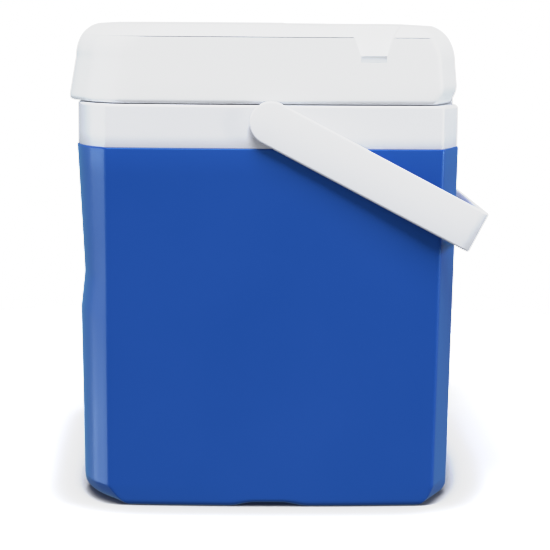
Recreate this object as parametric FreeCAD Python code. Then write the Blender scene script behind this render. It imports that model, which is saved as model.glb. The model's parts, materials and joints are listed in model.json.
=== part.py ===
import FreeCAD, Part
import math
import os

# Hard-sided cooler chest: foam-filled tapered tub, white liner whose rim forms the collar,
# foam-filled hinged lid, and a flat-strap bail handle that swings over the lid.
#
# Frame, in millimetres: +Z up, X along the chest, -Y the front, +Y the hinge side.
# The origin is on the floor under the middle of the handle's pivot line.

# ---- driving dimensions: tub ----
body_top = 294.5
end_top_x = 208.6
end_base_x = 204.9
front_top_y = -159.8
front_base_y = -154.6
back_top_y = 155.7
back_base_y = 150.9
front_crease_top_y = -133.0
front_crease_base_y = -131.1
back_crease_top_y = 139.4
back_crease_base_y = 135.5
tub_wall = 3.0
base_radius = 11.0
end_base_radius = 4.0
least_base_radius = 0.7
toe_height = 16.0
front_toe_slope = 0.75
back_toe_slope = 0.4
lip_radius = 1.2
end_bow = 4.0
scoop_depth = 4.1
scoop_low_z = 157.0
scoop_deep_z = 188.0

# ---- corners in plan, measured back from the creases ----
chamfer_x = 15.0
chamfer_y = 12.0
curve_x = 46.0
curve_bow = 3.0
crease_radius = 4.0
facet_x = 42.0
facet_radius = 20.0

# ---- arch under each end of the base ----
arch_height = 3.0
arch_half_foot = 33.0
arch_half_top = 11.0
arch_start_x = 138.0

# ---- liner and collar ----
collar_step = 1.0
collar_top = 329.4
collar_wall = 3.0
collar_back_round_y = 6.0
collar_back_round_z = 3.5
collar_edge_radius = 2.0
skirt_depth = 13.5
skirt_gap = 0.2
skirt_wall = 2.8
ledge_height = 3.0
liner_wall = 2.5
liner_floor_z = 32.0
liner_floor_radius = 14.0
liner_corner_radius = 28.0
liner_base_half_x = 174.0
liner_top_half_x = 181.0
liner_base_front_y = -126.8
liner_top_front_y = -132.8
liner_base_back_y = 121.4
liner_top_back_y = 127.4
mouth_flare = 2.5
bead_inner = 4.0
bead_outer = 9.0
bead_height = 0.5

# ---- lid ----
lid_bottom = 330.1
lid_top = 393.0
lid_front_y = -168.6
lid_front_lean = 5.9
lid_front_round_z = 366.0
lid_front_round_y = 21.0
lid_back_y = 153.4
lid_back_lean = 1.6
lid_back_round_z = 362.0
lid_back_round_y = 23.0
lid_chamfer_y = 6.0
lid_chamfer_z = 14.4
lid_chamfer_steps = 4
lid_end_x = 207.6
lid_end_lean = 1.4
lid_bevel_z = 383.5
lid_bevel_x = 15.0
lid_edge_inset = 2.4
lid_edge_height = 4.0
lid_edge_steps = 5
lid_crown_steps = 6
lid_wall = 3.0
lid_void_trim = 0.2
lid_back_thickening = 4.0
lid_void_step = 0.5
lid_corner_x = 70.0
lid_corner_y = 44.0
lid_corner_turn_x = 18.0
lid_corner_radii = (100.0, 60.0, 35.0)
lid_back_corner_y = 16.0
lid_crease_radius = 6.0
tray_start_y = 18.0
tray_depth = 0.5
panel_gap = 0.1
panel_edge_gap = 0.4
panel_thickness = 2.5
plug_depth = 8.5
plug_gap = 2.5
plug_chamfer = 1.5

# ---- cup wells and drain ramps in the lid ----
well_x = 130.0
well_y = 82.0
well_top_radius = 37.5
well_floor_radius = 34.5
well_floor_z = 378.5
ramp_y = 82.0
ramp_top_x = 171.0
ramp_foot_x = 203.8
ramp_foot_z = 369.0
ramp_wall_factor = 1.6
notch_floor_z = 363.5
notch_undercut = 1.8
notch_half_foot = 10.4
notch_half_top = 15.5
notch_half_top_z = 383.0

# ---- hinges ----
hinge_x = 105.0
hinge_y = 150.7
hinge_z = 332.0
barrel_radius = 3.6
barrel_gap = 0.5
hinge_pin_radius = 1.6
hinge_fit = 0.05
leaf_width = 40.0
leaf_thickness = 2.0
knuckle_gap = 0.3
body_leaf_foot_z = 306.0
lid_leaf_top_z = 366.0
lid_leaf_lean = 5.3
lid_leaf_start = 5.5
leaf_pocket_gap = 0.15
body_boss_depth = 12.0
lid_boss_depth = 14.0
boss_overlap = 3.0
screw_spacing = 24.0
screw_radius = 1.6
screw_head_radius = 3.2
screw_head_height = 1.6
screw_length = 9.0
body_screw_z = 314.0
lid_screw_z = 356.0

# ---- handle and pivots ----
pivot_z = 315.3
strap_outer_x = 216.0
strap_thickness = 6.0
strap_width = 34.9
grip_inner_radius = 183.0
grip_thickness = 6.6
grip_width = 34.7
bend_outer_radius = 9.0
bend_inner_radius = 4.0
handle_edge_radius = 1.6
rest_angle = -27.5
stud_radius = 6.5
stud_fit = 0.05
stud_groove_radius = 4.8
stud_end_x = 188.4
bush_flange_radius = 13.5
bush_flange_end_x = 209.6
bush_body_radius = 10.2
bush_chamber_radius = 8.9
bush_chamber_x = 193.5
bush_floor_x = 187.5
bush_end_x = 186.0
clip_radius = 8.4
clip_thickness = 1.2
clip_x = 190.2
clip_groove_gap = 0.1
clip_slot_half = 3.0

# ---- foam filling and its plugs ----
foam_gap = 0.3
plug_radius = 10.0
plug_flange_radius = 12.5
plug_flange_thickness = 1.2
plug_flange_room = 1.8
plug_recess = 0.8
base_plug_y = -80.0

round_steps = 6
margin = 20.0


def vec(x, y, z=0.0):
    return FreeCAD.Vector(x, y, z)


def box(low, high):
    size = [high[i] - low[i] for i in range(3)]
    return Part.makeBox(size[0], size[1], size[2], vec(*low))


def rod(radius, x_low, x_high, y, z):
    """Cylinder along X."""
    return Part.makeCylinder(radius, x_high - x_low, vec(x_low, y, z), vec(1, 0, 0))


def prism(points, direction):
    """Closed polygon extruded along a vector."""
    wire = Part.makePolygon([vec(*p) for p in points] + [vec(*points[0])])
    return Part.Face(wire).extrude(vec(*direction))


def unite(shapes):
    return shapes[0].fuse(shapes[1:]).removeSplitter() if len(shapes) > 1 else shapes[0]


def mirror_x(shape):
    return shape.mirror(vec(0, 0, 0), vec(1, 0, 0))


def both_ends(shape):
    return [shape, mirror_x(shape)]


def export(shape, name):
    shape.exportStep("parts/" + name + ".step")


# ---- closed outlines in plan ----
# A corner is (x, y, radius, bow): bow is how far the edge that leaves it bulges outwards.


def direction(angle):
    return vec(math.cos(angle), math.sin(angle))


def edge_angles(start, end, bow):
    """Directions of travel at the start and the end of one edge."""
    chord = vec(end[0] - start[0], end[1] - start[1])
    swing = 2.0 * math.atan(2.0 * bow / chord.Length)
    along = math.atan2(chord.y, chord.x)
    return along - swing, along + swing


def outline(corners, z):
    """Wire through anticlockwise corners, with rounded corners and bowed edges as arcs."""
    count = len(corners)
    angles = [
        edge_angles(corners[i], corners[(i + 1) % count], corners[i][3])
        for i in range(count)
    ]
    starts = []
    ends = []
    rounds = []
    for i in range(count):
        x, y, radius, _ = corners[i]
        arriving = direction(angles[i - 1][1])
        leaving = direction(angles[i][0])
        turn = math.acos(max(-1.0, min(1.0, arriving.dot(leaving))))
        reach = radius * math.tan(turn / 2.0)
        corner = vec(x, y, z)
        first = corner - arriving * reach
        last = corner + leaving * reach
        ends.append(first)
        starts.append(last)
        if reach > 0.0:
            centre = first + vec(-arriving.y, arriving.x) * radius
            middle = centre + (corner - centre).normalize() * radius
            rounds.append(Part.Arc(first, middle, last).toShape())
        else:
            rounds.append(None)
    edges = []
    for i in range(count):
        if rounds[i] is not None:
            edges.append(rounds[i])
        start = starts[i]
        end = ends[(i + 1) % count]
        if corners[i][3] == 0.0:
            edges.append(Part.LineSegment(start, end).toShape())
            continue
        chord = end - start
        swing = (angles[i][1] - angles[i][0]) / 2.0
        outward = vec(chord.y, -chord.x).normalize()
        sagitta = chord.Length / 2.0 * math.tan(swing / 2.0)
        middle = (start + end) * 0.5 + outward * sagitta
        edges.append(Part.Arc(start, middle, end).toShape())
    return Part.Wire(edges)


def inset(corners, distance):
    """Corners moved inwards by a distance, or outwards when it is negative."""
    moved = []
    count = len(corners)
    for i in range(count):
        x, y, radius, bow = corners[i]
        before = corners[i - 1]
        after = corners[(i + 1) % count]
        arriving = vec(x - before[0], y - before[1]).normalize()
        leaving = vec(after[0] - x, after[1] - y).normalize()
        normal_in = vec(-arriving.y, arriving.x)
        normal_out = vec(-leaving.y, leaving.x)
        shift = (normal_in + normal_out) * (distance / (1.0 + normal_in.dot(normal_out)))
        new_radius = max(radius - distance, 0.6) if radius > 0.0 else 0.0
        moved.append((x + shift.x, y + shift.y, new_radius, bow))
    return moved


def mirrored(right):
    """Whole outline from the corners of its +X side, front to back."""
    left = []
    for i in reversed(range(len(right))):
        x, y, radius, _ = right[i]
        bow = right[i - 1][3] if i > 0 else 0.0
        left.append((-x, y, radius, bow))
    return right + left


def loft(levels):
    """Solid through (corners, z) levels."""
    wires = [outline(corners, z) for corners, z in levels]
    return Part.makeLoft(wires, True, True)


def quarter(steps):
    """Pairs (across, up) round a unit quarter circle from its foot to its side."""
    for i in range(steps + 1):
        angle = math.pi / 2.0 * i / steps
        yield 1.0 - math.sin(angle), 1.0 - math.cos(angle)


def blend(low, high, share):
    return low + (high - low) * share


# ---- tub ----


def scoop(z):
    """How far the front wall is drawn in under the collar."""
    if z <= scoop_low_z:
        return 0.0
    if z <= scoop_deep_z:
        return scoop_depth * (z - scoop_low_z) / (scoop_deep_z - scoop_low_z)
    return scoop_depth * (body_top - z) / (body_top - scoop_deep_z)


def chest_corners(end_x, front_y, back_y, front_crease_y, back_crease_y, drawn_in, end_out=0.0):
    crease_x = end_x - end_bow + end_out
    corner_x = end_x - end_bow
    curve_start_x = corner_x - chamfer_x
    return mirrored(
        [
            (curve_start_x - curve_x, front_y + drawn_in, 0.0, curve_bow),
            (curve_start_x, front_crease_y - chamfer_y + drawn_in / 2.0, 0.0, 0.0),
            (crease_x, front_crease_y, crease_radius, end_bow),
            (crease_x, back_crease_y, crease_radius, 0.0),
            (corner_x - facet_x, back_y, facet_radius, 0.0),
        ]
    )


def tub_corners(z, distance=0.0, end_out=0.0):
    """Tub's outline at a height, its corners cut back towards the floor."""
    share = z / body_top
    toe = max(0.0, toe_height - z)
    corners = chest_corners(
        blend(end_base_x, end_top_x, share),
        blend(front_base_y, front_top_y, share),
        blend(back_base_y, back_top_y, share),
        blend(front_crease_base_y, front_crease_top_y, share) + toe * front_toe_slope,
        blend(back_crease_base_y, back_crease_top_y, share) - toe * back_toe_slope,
        scoop(z),
        end_out,
    )
    return inset(corners, distance)


def tub_block(wall, floor_z, top_z):
    """Tub's outside drawn in by a wall, from a floor to a height above the scoop.

    The base is rounded less under the end faces than along the front and the back.
    """
    radius = base_radius - wall
    end_radius = max(end_base_radius - wall, least_base_radius)
    levels = []
    for across, up in quarter(round_steps):
        rise = radius * up
        z = floor_z + rise
        below = max(0.0, end_radius - rise)
        end_across = end_radius - math.sqrt(end_radius**2 - below**2)
        end_out = radius * across - end_across
        levels.append((tub_corners(z, wall + radius * across, end_out), z))
    for z in (toe_height, scoop_low_z, scoop_deep_z, top_z):
        levels.append((tub_corners(z, wall), z))
    return loft(levels)


def tub_outside():
    body = tub_block(0.0, 0.0, body_top - lip_radius)
    levels = []
    for across, up in quarter(3):
        z = body_top - lip_radius * up
        levels.append((tub_corners(z, lip_radius * across), z))
    lip = loft(list(reversed(levels)))
    return body.fuse(lip)


def arch_profile(x, lift, widen):
    """Trapezoid across the base: the arch, or the floor that is raised over it."""
    foot = arch_half_foot + widen
    top = arch_half_top + widen
    height = arch_height + lift
    return [
        (x, -foot, 0.0),
        (x, -top, height),
        (x, top, height),
        (x, foot, 0.0),
        (x, foot, -margin),
        (x, -foot, -margin),
    ]


def arch(lift, widen, start_x):
    return prism(arch_profile(start_x, lift, widen), (end_top_x + margin - start_x, 0, 0))


def make_outer_shell(outside):
    shell = outside.cut(tub_block(tub_wall, tub_wall, body_top + margin))
    raised = arch(tub_wall, tub_wall, arch_start_x - tub_wall).common(outside)
    shell = unite([shell] + both_ends(raised))
    for cut in both_ends(arch(0.0, 0.0, arch_start_x)):
        shell = shell.cut(cut)
    hole = Part.makeCylinder(plug_radius, tub_wall + margin, vec(0, base_plug_y, -margin / 2))
    return shell.cut(hole)


# ---- liner and collar ----


def collar_corners(distance, back_inset=0.0):
    corners = chest_corners(
        end_top_x, front_top_y, back_top_y, front_crease_top_y, back_crease_top_y, 0.0
    )
    drawn = []
    for x, y, radius, bow in inset(corners, collar_step + distance):
        at_back = y > back_crease_top_y + 2.0
        drawn.append((x, y - back_inset if at_back else y, radius, bow))
    return drawn


def collar_outside():
    round_foot = collar_top - collar_back_round_z
    levels = [(collar_corners(0.0), body_top)]
    for i in range(round_steps + 1):
        angle = math.pi / 2.0 * i / round_steps
        z = round_foot + collar_back_round_z * math.sin(angle)
        above = max(0.0, z - (collar_top - collar_edge_radius))
        edge = collar_edge_radius - math.sqrt(max(0.0, collar_edge_radius**2 - above**2))
        back = collar_back_round_y * (1.0 - math.cos(angle))
        levels.append((collar_corners(edge, max(0.0, back - edge)), z))
    return loft(levels)


def liner_corners(z, distance=0.0):
    """Rounded rectangle of the liner's inside at a height."""
    share = (z - liner_floor_z) / (collar_top - liner_floor_z)
    half_x = blend(liner_base_half_x, liner_top_half_x, share)
    front_y = blend(liner_base_front_y, liner_top_front_y, share)
    back_y = blend(liner_base_back_y, liner_top_back_y, share)
    corners = [
        (half_x, front_y, liner_corner_radius, 0.0),
        (half_x, back_y, liner_corner_radius, 0.0),
        (-half_x, back_y, liner_corner_radius, 0.0),
        (-half_x, front_y, liner_corner_radius, 0.0),
    ]
    return inset(corners, distance)


def liner_block(grow, top_z, flare=0.0):
    """Inside of the liner grown outwards, with an optional flared mouth."""
    radius = liner_floor_radius + grow
    floor_z = liner_floor_z - grow
    levels = []
    for across, up in quarter(round_steps):
        z = floor_z + radius * up
        levels.append((liner_corners(z, radius * across - grow), z))
    if flare > 0.0:
        levels.append((liner_corners(collar_top - flare, -grow), collar_top - flare))
        levels.append((liner_corners(collar_top, -grow - flare), collar_top))
        levels.append((liner_corners(collar_top, -grow - flare), top_z))
    else:
        levels.append((liner_corners(top_z, -grow), top_z))
    return loft(levels)


def ring(outer_corners, inner_corners, z_low, z_high):
    outside = loft([(outer_corners, z_low), (outer_corners, z_high)])
    inside = loft([(inner_corners, z_low - 1.0), (inner_corners, z_high + 1.0)])
    return outside.cut(inside)


def make_inner_liner(collar_solid):
    ledge_z = body_top + ledge_height
    skirt_foot_z = body_top - skirt_depth
    skirt_outer = tub_wall + skirt_gap
    skirt_inner = skirt_outer + skirt_wall
    skirt = loft(
        [
            (tub_corners(skirt_foot_z, skirt_outer), skirt_foot_z),
            (tub_corners(body_top, skirt_outer), body_top),
        ]
    )
    skirt_void = loft(
        [
            (tub_corners(skirt_foot_z - 1.0, skirt_inner), skirt_foot_z - 1.0),
            (tub_corners(body_top, skirt_inner), ledge_z),
        ]
    )
    collar_void_top = collar_top - collar_wall
    collar_void = loft(
        [
            (collar_corners(collar_wall), ledge_z),
            (collar_corners(collar_wall), collar_void_top),
        ]
    )
    rim = collar_solid.fuse(skirt).cut(skirt_void).cut(collar_void)
    bead = ring(
        liner_corners(collar_top, -bead_outer),
        liner_corners(collar_top, -bead_inner),
        collar_top - 1.0,
        collar_top + bead_height,
    )
    bosses = [boss.common(collar_solid) for boss in hinge_bosses("body", 0.0)]
    liner = unite([rim, liner_block(liner_wall, collar_top), bead] + bosses)
    liner = liner.cut(liner_block(0.0, collar_top + margin, mouth_flare))
    for sign in (-1, 1):
        hole = rod(bush_body_radius, -margin / 2, margin, 0.0, pivot_z)
        hole.translate(vec(sign * end_top_x - margin / 4, 0, 0))
        liner = liner.cut(hole)
        liner = liner.cut(body_hinge_cut(sign * hinge_x))
    return liner


# ---- lid ----


def lid_front(z):
    lean = lid_front_lean * (z - lid_bottom) / (lid_front_round_z - lid_bottom)
    if z <= lid_front_round_z:
        return lid_front_y + lean
    share = (z - lid_front_round_z) / (lid_top - lid_front_round_z)
    round_in = lid_front_round_y * (1.0 - math.sqrt(max(0.0, 1.0 - share**2)))
    return lid_front_y + lid_front_lean + round_in


def lid_back(z):
    chamfer_top = lid_bottom + lid_chamfer_z
    if z <= chamfer_top:
        return lid_back_y - lid_chamfer_y * ((chamfer_top - z) / lid_chamfer_z) ** 2
    lean = lid_back_lean * (z - chamfer_top) / (lid_back_round_z - chamfer_top)
    if z <= lid_back_round_z:
        return lid_back_y - lean
    share = (z - lid_back_round_z) / (lid_top - lid_back_round_z)
    round_in = lid_back_round_y * (1.0 - math.sqrt(max(0.0, 1.0 - share**2)))
    return lid_back_y - lid_back_lean - round_in


def lid_end(z):
    if z <= lid_bevel_z:
        return lid_end_x - lid_end_lean * (z - lid_bottom) / (lid_bevel_z - lid_bottom)
    share = (z - lid_bevel_z) / (lid_top - lid_bevel_z)
    bevel = lid_bevel_x * (0.75 * share + 0.25 * share**3)
    return lid_end_x - lid_end_lean - bevel


def lid_corners(z, distance=0.0, back_inset=0.0):
    below = max(0.0, lid_bottom + lid_edge_height - z) / lid_edge_height
    edge = lid_edge_inset * (1.0 - math.sqrt(max(0.0, 1.0 - below**2)))
    front_y = lid_front(z) + edge
    back_y = lid_back(z) - back_inset
    crease_x = lid_end(z) - edge - end_bow
    radii = lid_corner_radii
    corners = mirrored(
        [
            (crease_x - lid_corner_x, front_y, radii[0], 0.0),
            (crease_x - lid_corner_turn_x, front_y + lid_corner_y / 2.0, radii[1], 0.0),
            (crease_x, front_y + lid_corner_y, radii[2], end_bow),
            (crease_x, back_y - lid_back_corner_y, lid_crease_radius, 0.0),
            (crease_x - facet_x, back_y, facet_radius, 0.0),
        ]
    )
    return inset(corners, distance)


def lid_heights():
    """Levels of the lid's loft, close together where its outline turns fastest."""
    heights = [lid_bottom + lid_edge_height * up for _, up in quarter(lid_edge_steps)]
    edge_top = lid_bottom + lid_edge_height
    chamfer_top = lid_bottom + lid_chamfer_z
    for i in range(1, lid_chamfer_steps + 1):
        heights.append(blend(edge_top, chamfer_top, i / lid_chamfer_steps))
    heights += [lid_back_round_z, lid_bevel_z]
    for i in range(lid_crown_steps + 1):
        share = math.sin(math.pi / 2.0 * i / lid_crown_steps)
        heights.append(blend(lid_front_round_z, lid_top, share))
    return sorted(heights)


def lid_outside():
    return loft([(lid_corners(z), z) for z in lid_heights()])


def void_corners(z, distance):
    """Plan of the lid's inside at a height: the outside above it, drawn in.

    The wall grows thicker towards the bottom of the back, behind the hinge barrels.
    """
    below = max(0.0, lid_bottom + lid_chamfer_z - z - distance) / lid_chamfer_z
    return lid_corners(z + distance, distance, lid_back_thickening * below)


def lid_void(distance, floor_z):
    """Space inside the lid's outer wall."""
    inside = [z - distance for z in lid_heights()[:-1] + [lid_top - lid_void_trim]]
    heights = [floor_z] + [z for z in inside if z > floor_z + lid_void_step]
    return loft([(void_corners(z, distance), z) for z in heights])


def well(grow, top_z):
    """Tapered cup well, grown by a wall."""
    floor_z = well_floor_z - grow
    slope = (well_top_radius - well_floor_radius) / (lid_top - well_floor_z)
    high_radius = well_floor_radius + grow + slope * (top_z - well_floor_z)
    low_radius = well_floor_radius + grow - slope * grow
    return Part.makeCone(low_radius, high_radius, top_z - floor_z, vec(well_x, well_y, floor_z))


def drain_ramp(grow):
    """Sloped notch from the lid's top down its end, grown by a wall."""
    high_z = lid_top + margin
    far_x = lid_end_x + margin
    slope = (lid_top - ramp_foot_z) / (ramp_foot_x - ramp_top_x)
    start_x = ramp_top_x - ramp_wall_factor * grow
    foot_x = ramp_foot_x - grow
    foot_z = lid_top - slope * (foot_x - start_x)
    side = [
        (start_x, -margin * 3, lid_top),
        (foot_x, -margin * 3, foot_z),
        (foot_x - notch_undercut, -margin * 3, notch_floor_z - grow),
        (far_x, -margin * 3, notch_floor_z - grow),
        (far_x, -margin * 3, high_z),
        (start_x, -margin * 3, high_z),
    ]
    spread = (notch_half_top - notch_half_foot) / (notch_half_top_z - ramp_foot_z)
    half_foot = notch_half_foot + grow
    half_high = half_foot + spread * (high_z - ramp_foot_z)
    front = [
        (ramp_top_x - margin, -half_foot, notch_floor_z - margin),
        (ramp_top_x - margin, half_foot, notch_floor_z - margin),
        (ramp_top_x - margin, half_foot, ramp_foot_z),
        (ramp_top_x - margin, half_high, high_z),
        (ramp_top_x - margin, -half_high, high_z),
        (ramp_top_x - margin, -half_foot, ramp_foot_z),
    ]
    notch = prism(side, (0, margin * 6, 0)).common(prism(front, (margin * 5, 0, 0)))
    notch.translate(vec(0, ramp_y, 0))
    return notch


def make_lid_shell(outside):
    shell = outside.cut(lid_void(lid_wall, lid_bottom - 1.0))
    walls = both_ends(well(lid_wall, lid_top)) + both_ends(drain_ramp(lid_wall))
    walls += hinge_bosses("lid", 0.0)
    shell = unite([shell] + [wall.common(outside) for wall in walls])
    cuts = both_ends(well(0.0, lid_top + 1.0)) + both_ends(drain_ramp(0.0))
    tray_low = (-lid_end_x, tray_start_y, lid_top - tray_depth)
    cuts.append(box(tray_low, (lid_end_x, lid_back_y, lid_top + 1.0)))
    cuts += [lid_hinge_cut(sign * hinge_x) for sign in (-1, 1)]
    for cut in cuts:
        shell = shell.cut(cut)
    return shell


def panel_levels():
    flange_low = lid_bottom + panel_gap
    return flange_low, flange_low + panel_thickness


def make_lid_panel():
    flange_low, flange_high = panel_levels()
    edge = void_corners(lid_bottom, lid_wall + panel_edge_gap)
    flange = loft([(edge, flange_low), (edge, flange_high)])
    plug_low = flange_low - plug_depth
    plug = loft(
        [
            (liner_corners(collar_top, plug_gap + plug_chamfer), plug_low),
            (liner_corners(collar_top, plug_gap), plug_low + plug_chamfer),
            (liner_corners(collar_top, plug_gap), flange_high),
        ]
    )
    pan_corners = liner_corners(collar_top, plug_gap + plug_chamfer + panel_thickness)
    pan = loft([(pan_corners, plug_low + panel_thickness), (pan_corners, flange_high + 1.0)])
    panel = unite([flange, plug]).cut(pan)
    hole = Part.makeCylinder(plug_radius, margin, vec(0, 0, plug_low - margin / 2))
    return panel.cut(hole)


# ---- foam ----


def make_body_foam():
    skirt_foot_z = body_top - skirt_depth
    low = tub_block(tub_wall + foam_gap, tub_wall + foam_gap, skirt_foot_z - foam_gap)
    inner = tub_wall + skirt_gap + skirt_wall + foam_gap
    high_z = collar_top - collar_wall - foam_gap
    high = loft(
        [
            (tub_corners(skirt_foot_z - foam_gap, inner), skirt_foot_z - foam_gap),
            (tub_corners(body_top, inner), high_z),
        ]
    )
    foam = low.fuse(high).cut(liner_block(liner_wall + foam_gap, collar_top))
    lift = tub_wall + foam_gap
    holes = both_ends(arch(lift, lift, arch_start_x - lift))
    holes += hinge_bosses("body", foam_gap)
    end_x = bush_end_x - foam_gap
    holes += both_ends(rod(bush_body_radius + foam_gap, end_x, end_top_x, 0.0, pivot_z))
    room_height = tub_wall + plug_flange_room
    room_radius = plug_flange_radius + foam_gap
    holes.append(Part.makeCylinder(room_radius, room_height, vec(0, base_plug_y, 0)))
    for hole in holes:
        foam = foam.cut(hole)
    return foam


def make_lid_foam():
    _, flange_high = panel_levels()
    floor_z = flange_high + foam_gap
    foam = lid_void(lid_wall + foam_gap, floor_z)
    plug_floor = lid_bottom + panel_gap - plug_depth + panel_thickness
    distance = plug_gap + plug_chamfer + panel_thickness + foam_gap
    pan = liner_corners(collar_top, distance)
    foam = foam.fuse(loft([(pan, plug_floor + plug_flange_room), (pan, floor_z + 1.0)]))
    holes = both_ends(well(lid_wall + foam_gap, lid_top))
    holes += both_ends(drain_ramp(lid_wall + foam_gap))
    holes += hinge_bosses("lid", foam_gap)
    for hole in holes:
        foam = foam.cut(hole)
    return foam


def fill_plug(y, face_z, wall):
    """Snap-in plug for a foam filling hole: a disc with a flange on the foam side."""
    disc_z = face_z + plug_recess
    flange_z = face_z + wall
    disc = Part.makeCylinder(plug_radius - stud_fit, wall - plug_recess, vec(0, y, disc_z))
    flange = Part.makeCylinder(plug_flange_radius, plug_flange_thickness, vec(0, y, flange_z))
    return disc.fuse(flange).removeSplitter()


# ---- hinges ----


def hinge_bosses(side, grow):
    """Blocks behind the hinge leaves that the screws bite into."""
    half = leaf_width / 2.0 + grow
    if side == "body":
        low_z = body_leaf_foot_z - boss_overlap
        high_z = collar_top - collar_wall
        depth = body_boss_depth
    else:
        low_z = panel_levels()[1] + foam_gap
        high_z = lid_leaf_top_z + boss_overlap
        depth = lid_boss_depth
    blocks = []
    for sign in (-1, 1):
        low = (sign * hinge_x - half, hinge_y + barrel_radius - depth - grow, low_z - grow)
        high = (sign * hinge_x + half, hinge_y + margin, high_z + grow)
        blocks.append(box(low, high))
    return blocks


def lean_back(shape):
    """Turn a lid leaf about the hinge line to lie along the lid's leaning back."""
    shape.rotate(vec(0, hinge_y, hinge_z), vec(1, 0, 0), lid_leaf_lean)
    return shape


def barrel(radius, x, half_width):
    return rod(radius, x - half_width, x + half_width, hinge_y, hinge_z)


def leaf_plate(x, half_width, z_low, z_high, grow=0.0):
    outer_y = hinge_y + barrel_radius
    low = (x - half_width - grow, outer_y - leaf_thickness - grow, z_low)
    high = (x + half_width + grow, outer_y + (margin if grow > 0.0 else 0.0), z_high)
    return box(low, high)


def body_hinge_cut(x):
    """Pocket in the collar for the fixed leaf, and room round the barrel."""
    half = leaf_width / 2.0
    gap = leaf_pocket_gap
    pocket = leaf_plate(x, half, body_leaf_foot_z - gap, hinge_z + margin, gap)
    room = barrel(barrel_radius + barrel_gap, x, half + barrel_gap)
    holes = screw_group(x, "body", hinge_fit, 0.0)
    return pocket.fuse([room] + holes)


def lid_hinge_cut(x):
    half = leaf_width / 2.0
    gap = leaf_pocket_gap
    pocket = leaf_plate(x, half, hinge_z, lid_leaf_top_z + gap, gap)
    holes = screw_group(x, "lid", hinge_fit, 0.0)
    room = barrel(barrel_radius + barrel_gap, x, half + barrel_gap)
    return lean_back(pocket).fuse([room] + holes)


def make_leaf(x, side):
    half = leaf_width / 2.0
    middle = leaf_width / 6.0
    clear = barrel_radius + barrel_gap
    if side == "body":
        gap = middle + knuckle_gap
        gap_low = (x - gap, hinge_y - margin, hinge_z - clear)
        gap_high = (x + gap, hinge_y + margin, hinge_z + clear)
        plate = leaf_plate(x, half, body_leaf_foot_z, hinge_z)
        leaf = plate.fuse(barrel(barrel_radius, x, half)).cut(box(gap_low, gap_high))
    else:
        wide = leaf_plate(x, half, hinge_z + lid_leaf_start, lid_leaf_top_z)
        neck = leaf_plate(x, middle, hinge_z, hinge_z + lid_leaf_start)
        leaf = lean_back(wide.fuse([neck, barrel(barrel_radius, x, middle)]))
    leaf = leaf.cut(barrel(hinge_pin_radius + hinge_fit, x, half + 1.0))
    for hole in screw_group(x, side, hinge_fit, 1.0):
        leaf = leaf.cut(hole)
    return leaf.removeSplitter()


def screw(x, z, grow, above):
    """Countersunk screw along -Y, its head flush with the outside of the leaf."""
    face_y = hinge_y + barrel_radius
    start = vec(x, face_y, z)
    inwards = vec(0, -1, 0)
    head_radius = screw_head_radius + grow
    shank_radius = screw_radius + grow
    head = Part.makeCone(head_radius, shank_radius, screw_head_height, start, inwards)
    shank = Part.makeCylinder(shank_radius, screw_length, start, inwards)
    solid = head.fuse(shank)
    if above > 0.0:
        solid = solid.fuse(Part.makeCylinder(head_radius, above, start, vec(0, 1, 0)))
    return solid.removeSplitter()


def screw_group(x, side, grow=0.0, above=0.0):
    z = body_screw_z if side == "body" else lid_screw_z
    offsets = (-screw_spacing / 2.0, screw_spacing / 2.0)
    screws = [screw(x + offset, z, grow, above) for offset in offsets]
    if side == "lid":
        screws = [lean_back(item) for item in screws]
    return screws


# ---- handle and pivots ----


def make_handle():
    """U of flat strap, built pointing along +Y and swung down to rest on the back wall."""
    inner_x = strap_outer_x - strap_thickness
    grip_outer = grip_inner_radius + grip_thickness
    bar = [
        (strap_outer_x, -margin, 0.0, 0.0),
        (strap_outer_x, grip_outer, bend_outer_radius, 0.0),
        (-strap_outer_x, grip_outer, bend_outer_radius, 0.0),
        (-strap_outer_x, -margin, 0.0, 0.0),
    ]
    gap = [
        (inner_x, -2 * margin, 0.0, 0.0),
        (inner_x, grip_inner_radius, bend_inner_radius, 0.0),
        (-inner_x, grip_inner_radius, bend_inner_radius, 0.0),
        (-inner_x, -2 * margin, 0.0, 0.0),
    ]
    half = strap_width / 2.0
    bail = ring(bar, gap, -half, half)
    side = strap_side()
    bail = bail.common(side)
    long_edges = [edge for edge in bail.Edges if is_rim(edge)]
    bail = bail.makeFillet(handle_edge_radius, long_edges)
    for sign in (-1, 1):
        low_x = stud_end_x if sign > 0 else -inner_x - 1.0
        stud = rod(stud_radius, low_x, low_x + inner_x + 1.0 - stud_end_x, 0.0, 0.0)
        bail = bail.fuse(stud)
        half_groove = clip_thickness / 2.0 + clip_groove_gap
        groove_low = sign * clip_x - half_groove
        groove_high = sign * clip_x + half_groove
        groove = rod(stud_radius + 1.0, groove_low, groove_high, 0.0, 0.0)
        core = rod(stud_groove_radius, groove_low, groove_high, 0.0, 0.0)
        bail = bail.cut(groove.cut(core))
    bail = bail.removeSplitter()
    bail.rotate(vec(0, 0, 0), vec(1, 0, 0), rest_angle)
    bail.translate(vec(0, 0, pivot_z))
    return bail


def strap_side():
    """Side view of the bail: a round end at the pivot and a slight taper to the grip."""
    half = strap_width / 2.0
    half_grip = grip_width / 2.0
    far = grip_inner_radius + grip_thickness
    x = strap_outer_x + margin
    arc = Part.Arc(vec(-x, 0, half), vec(-x, -half, 0), vec(-x, 0, -half)).toShape()
    low = Part.LineSegment(vec(-x, 0, -half), vec(-x, far, -half_grip)).toShape()
    end = Part.LineSegment(vec(-x, far, -half_grip), vec(-x, far, half_grip)).toShape()
    high = Part.LineSegment(vec(-x, far, half_grip), vec(-x, 0, half)).toShape()
    return Part.Face(Part.Wire([arc, low, end, high])).extrude(vec(2 * x, 0, 0))


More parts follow.
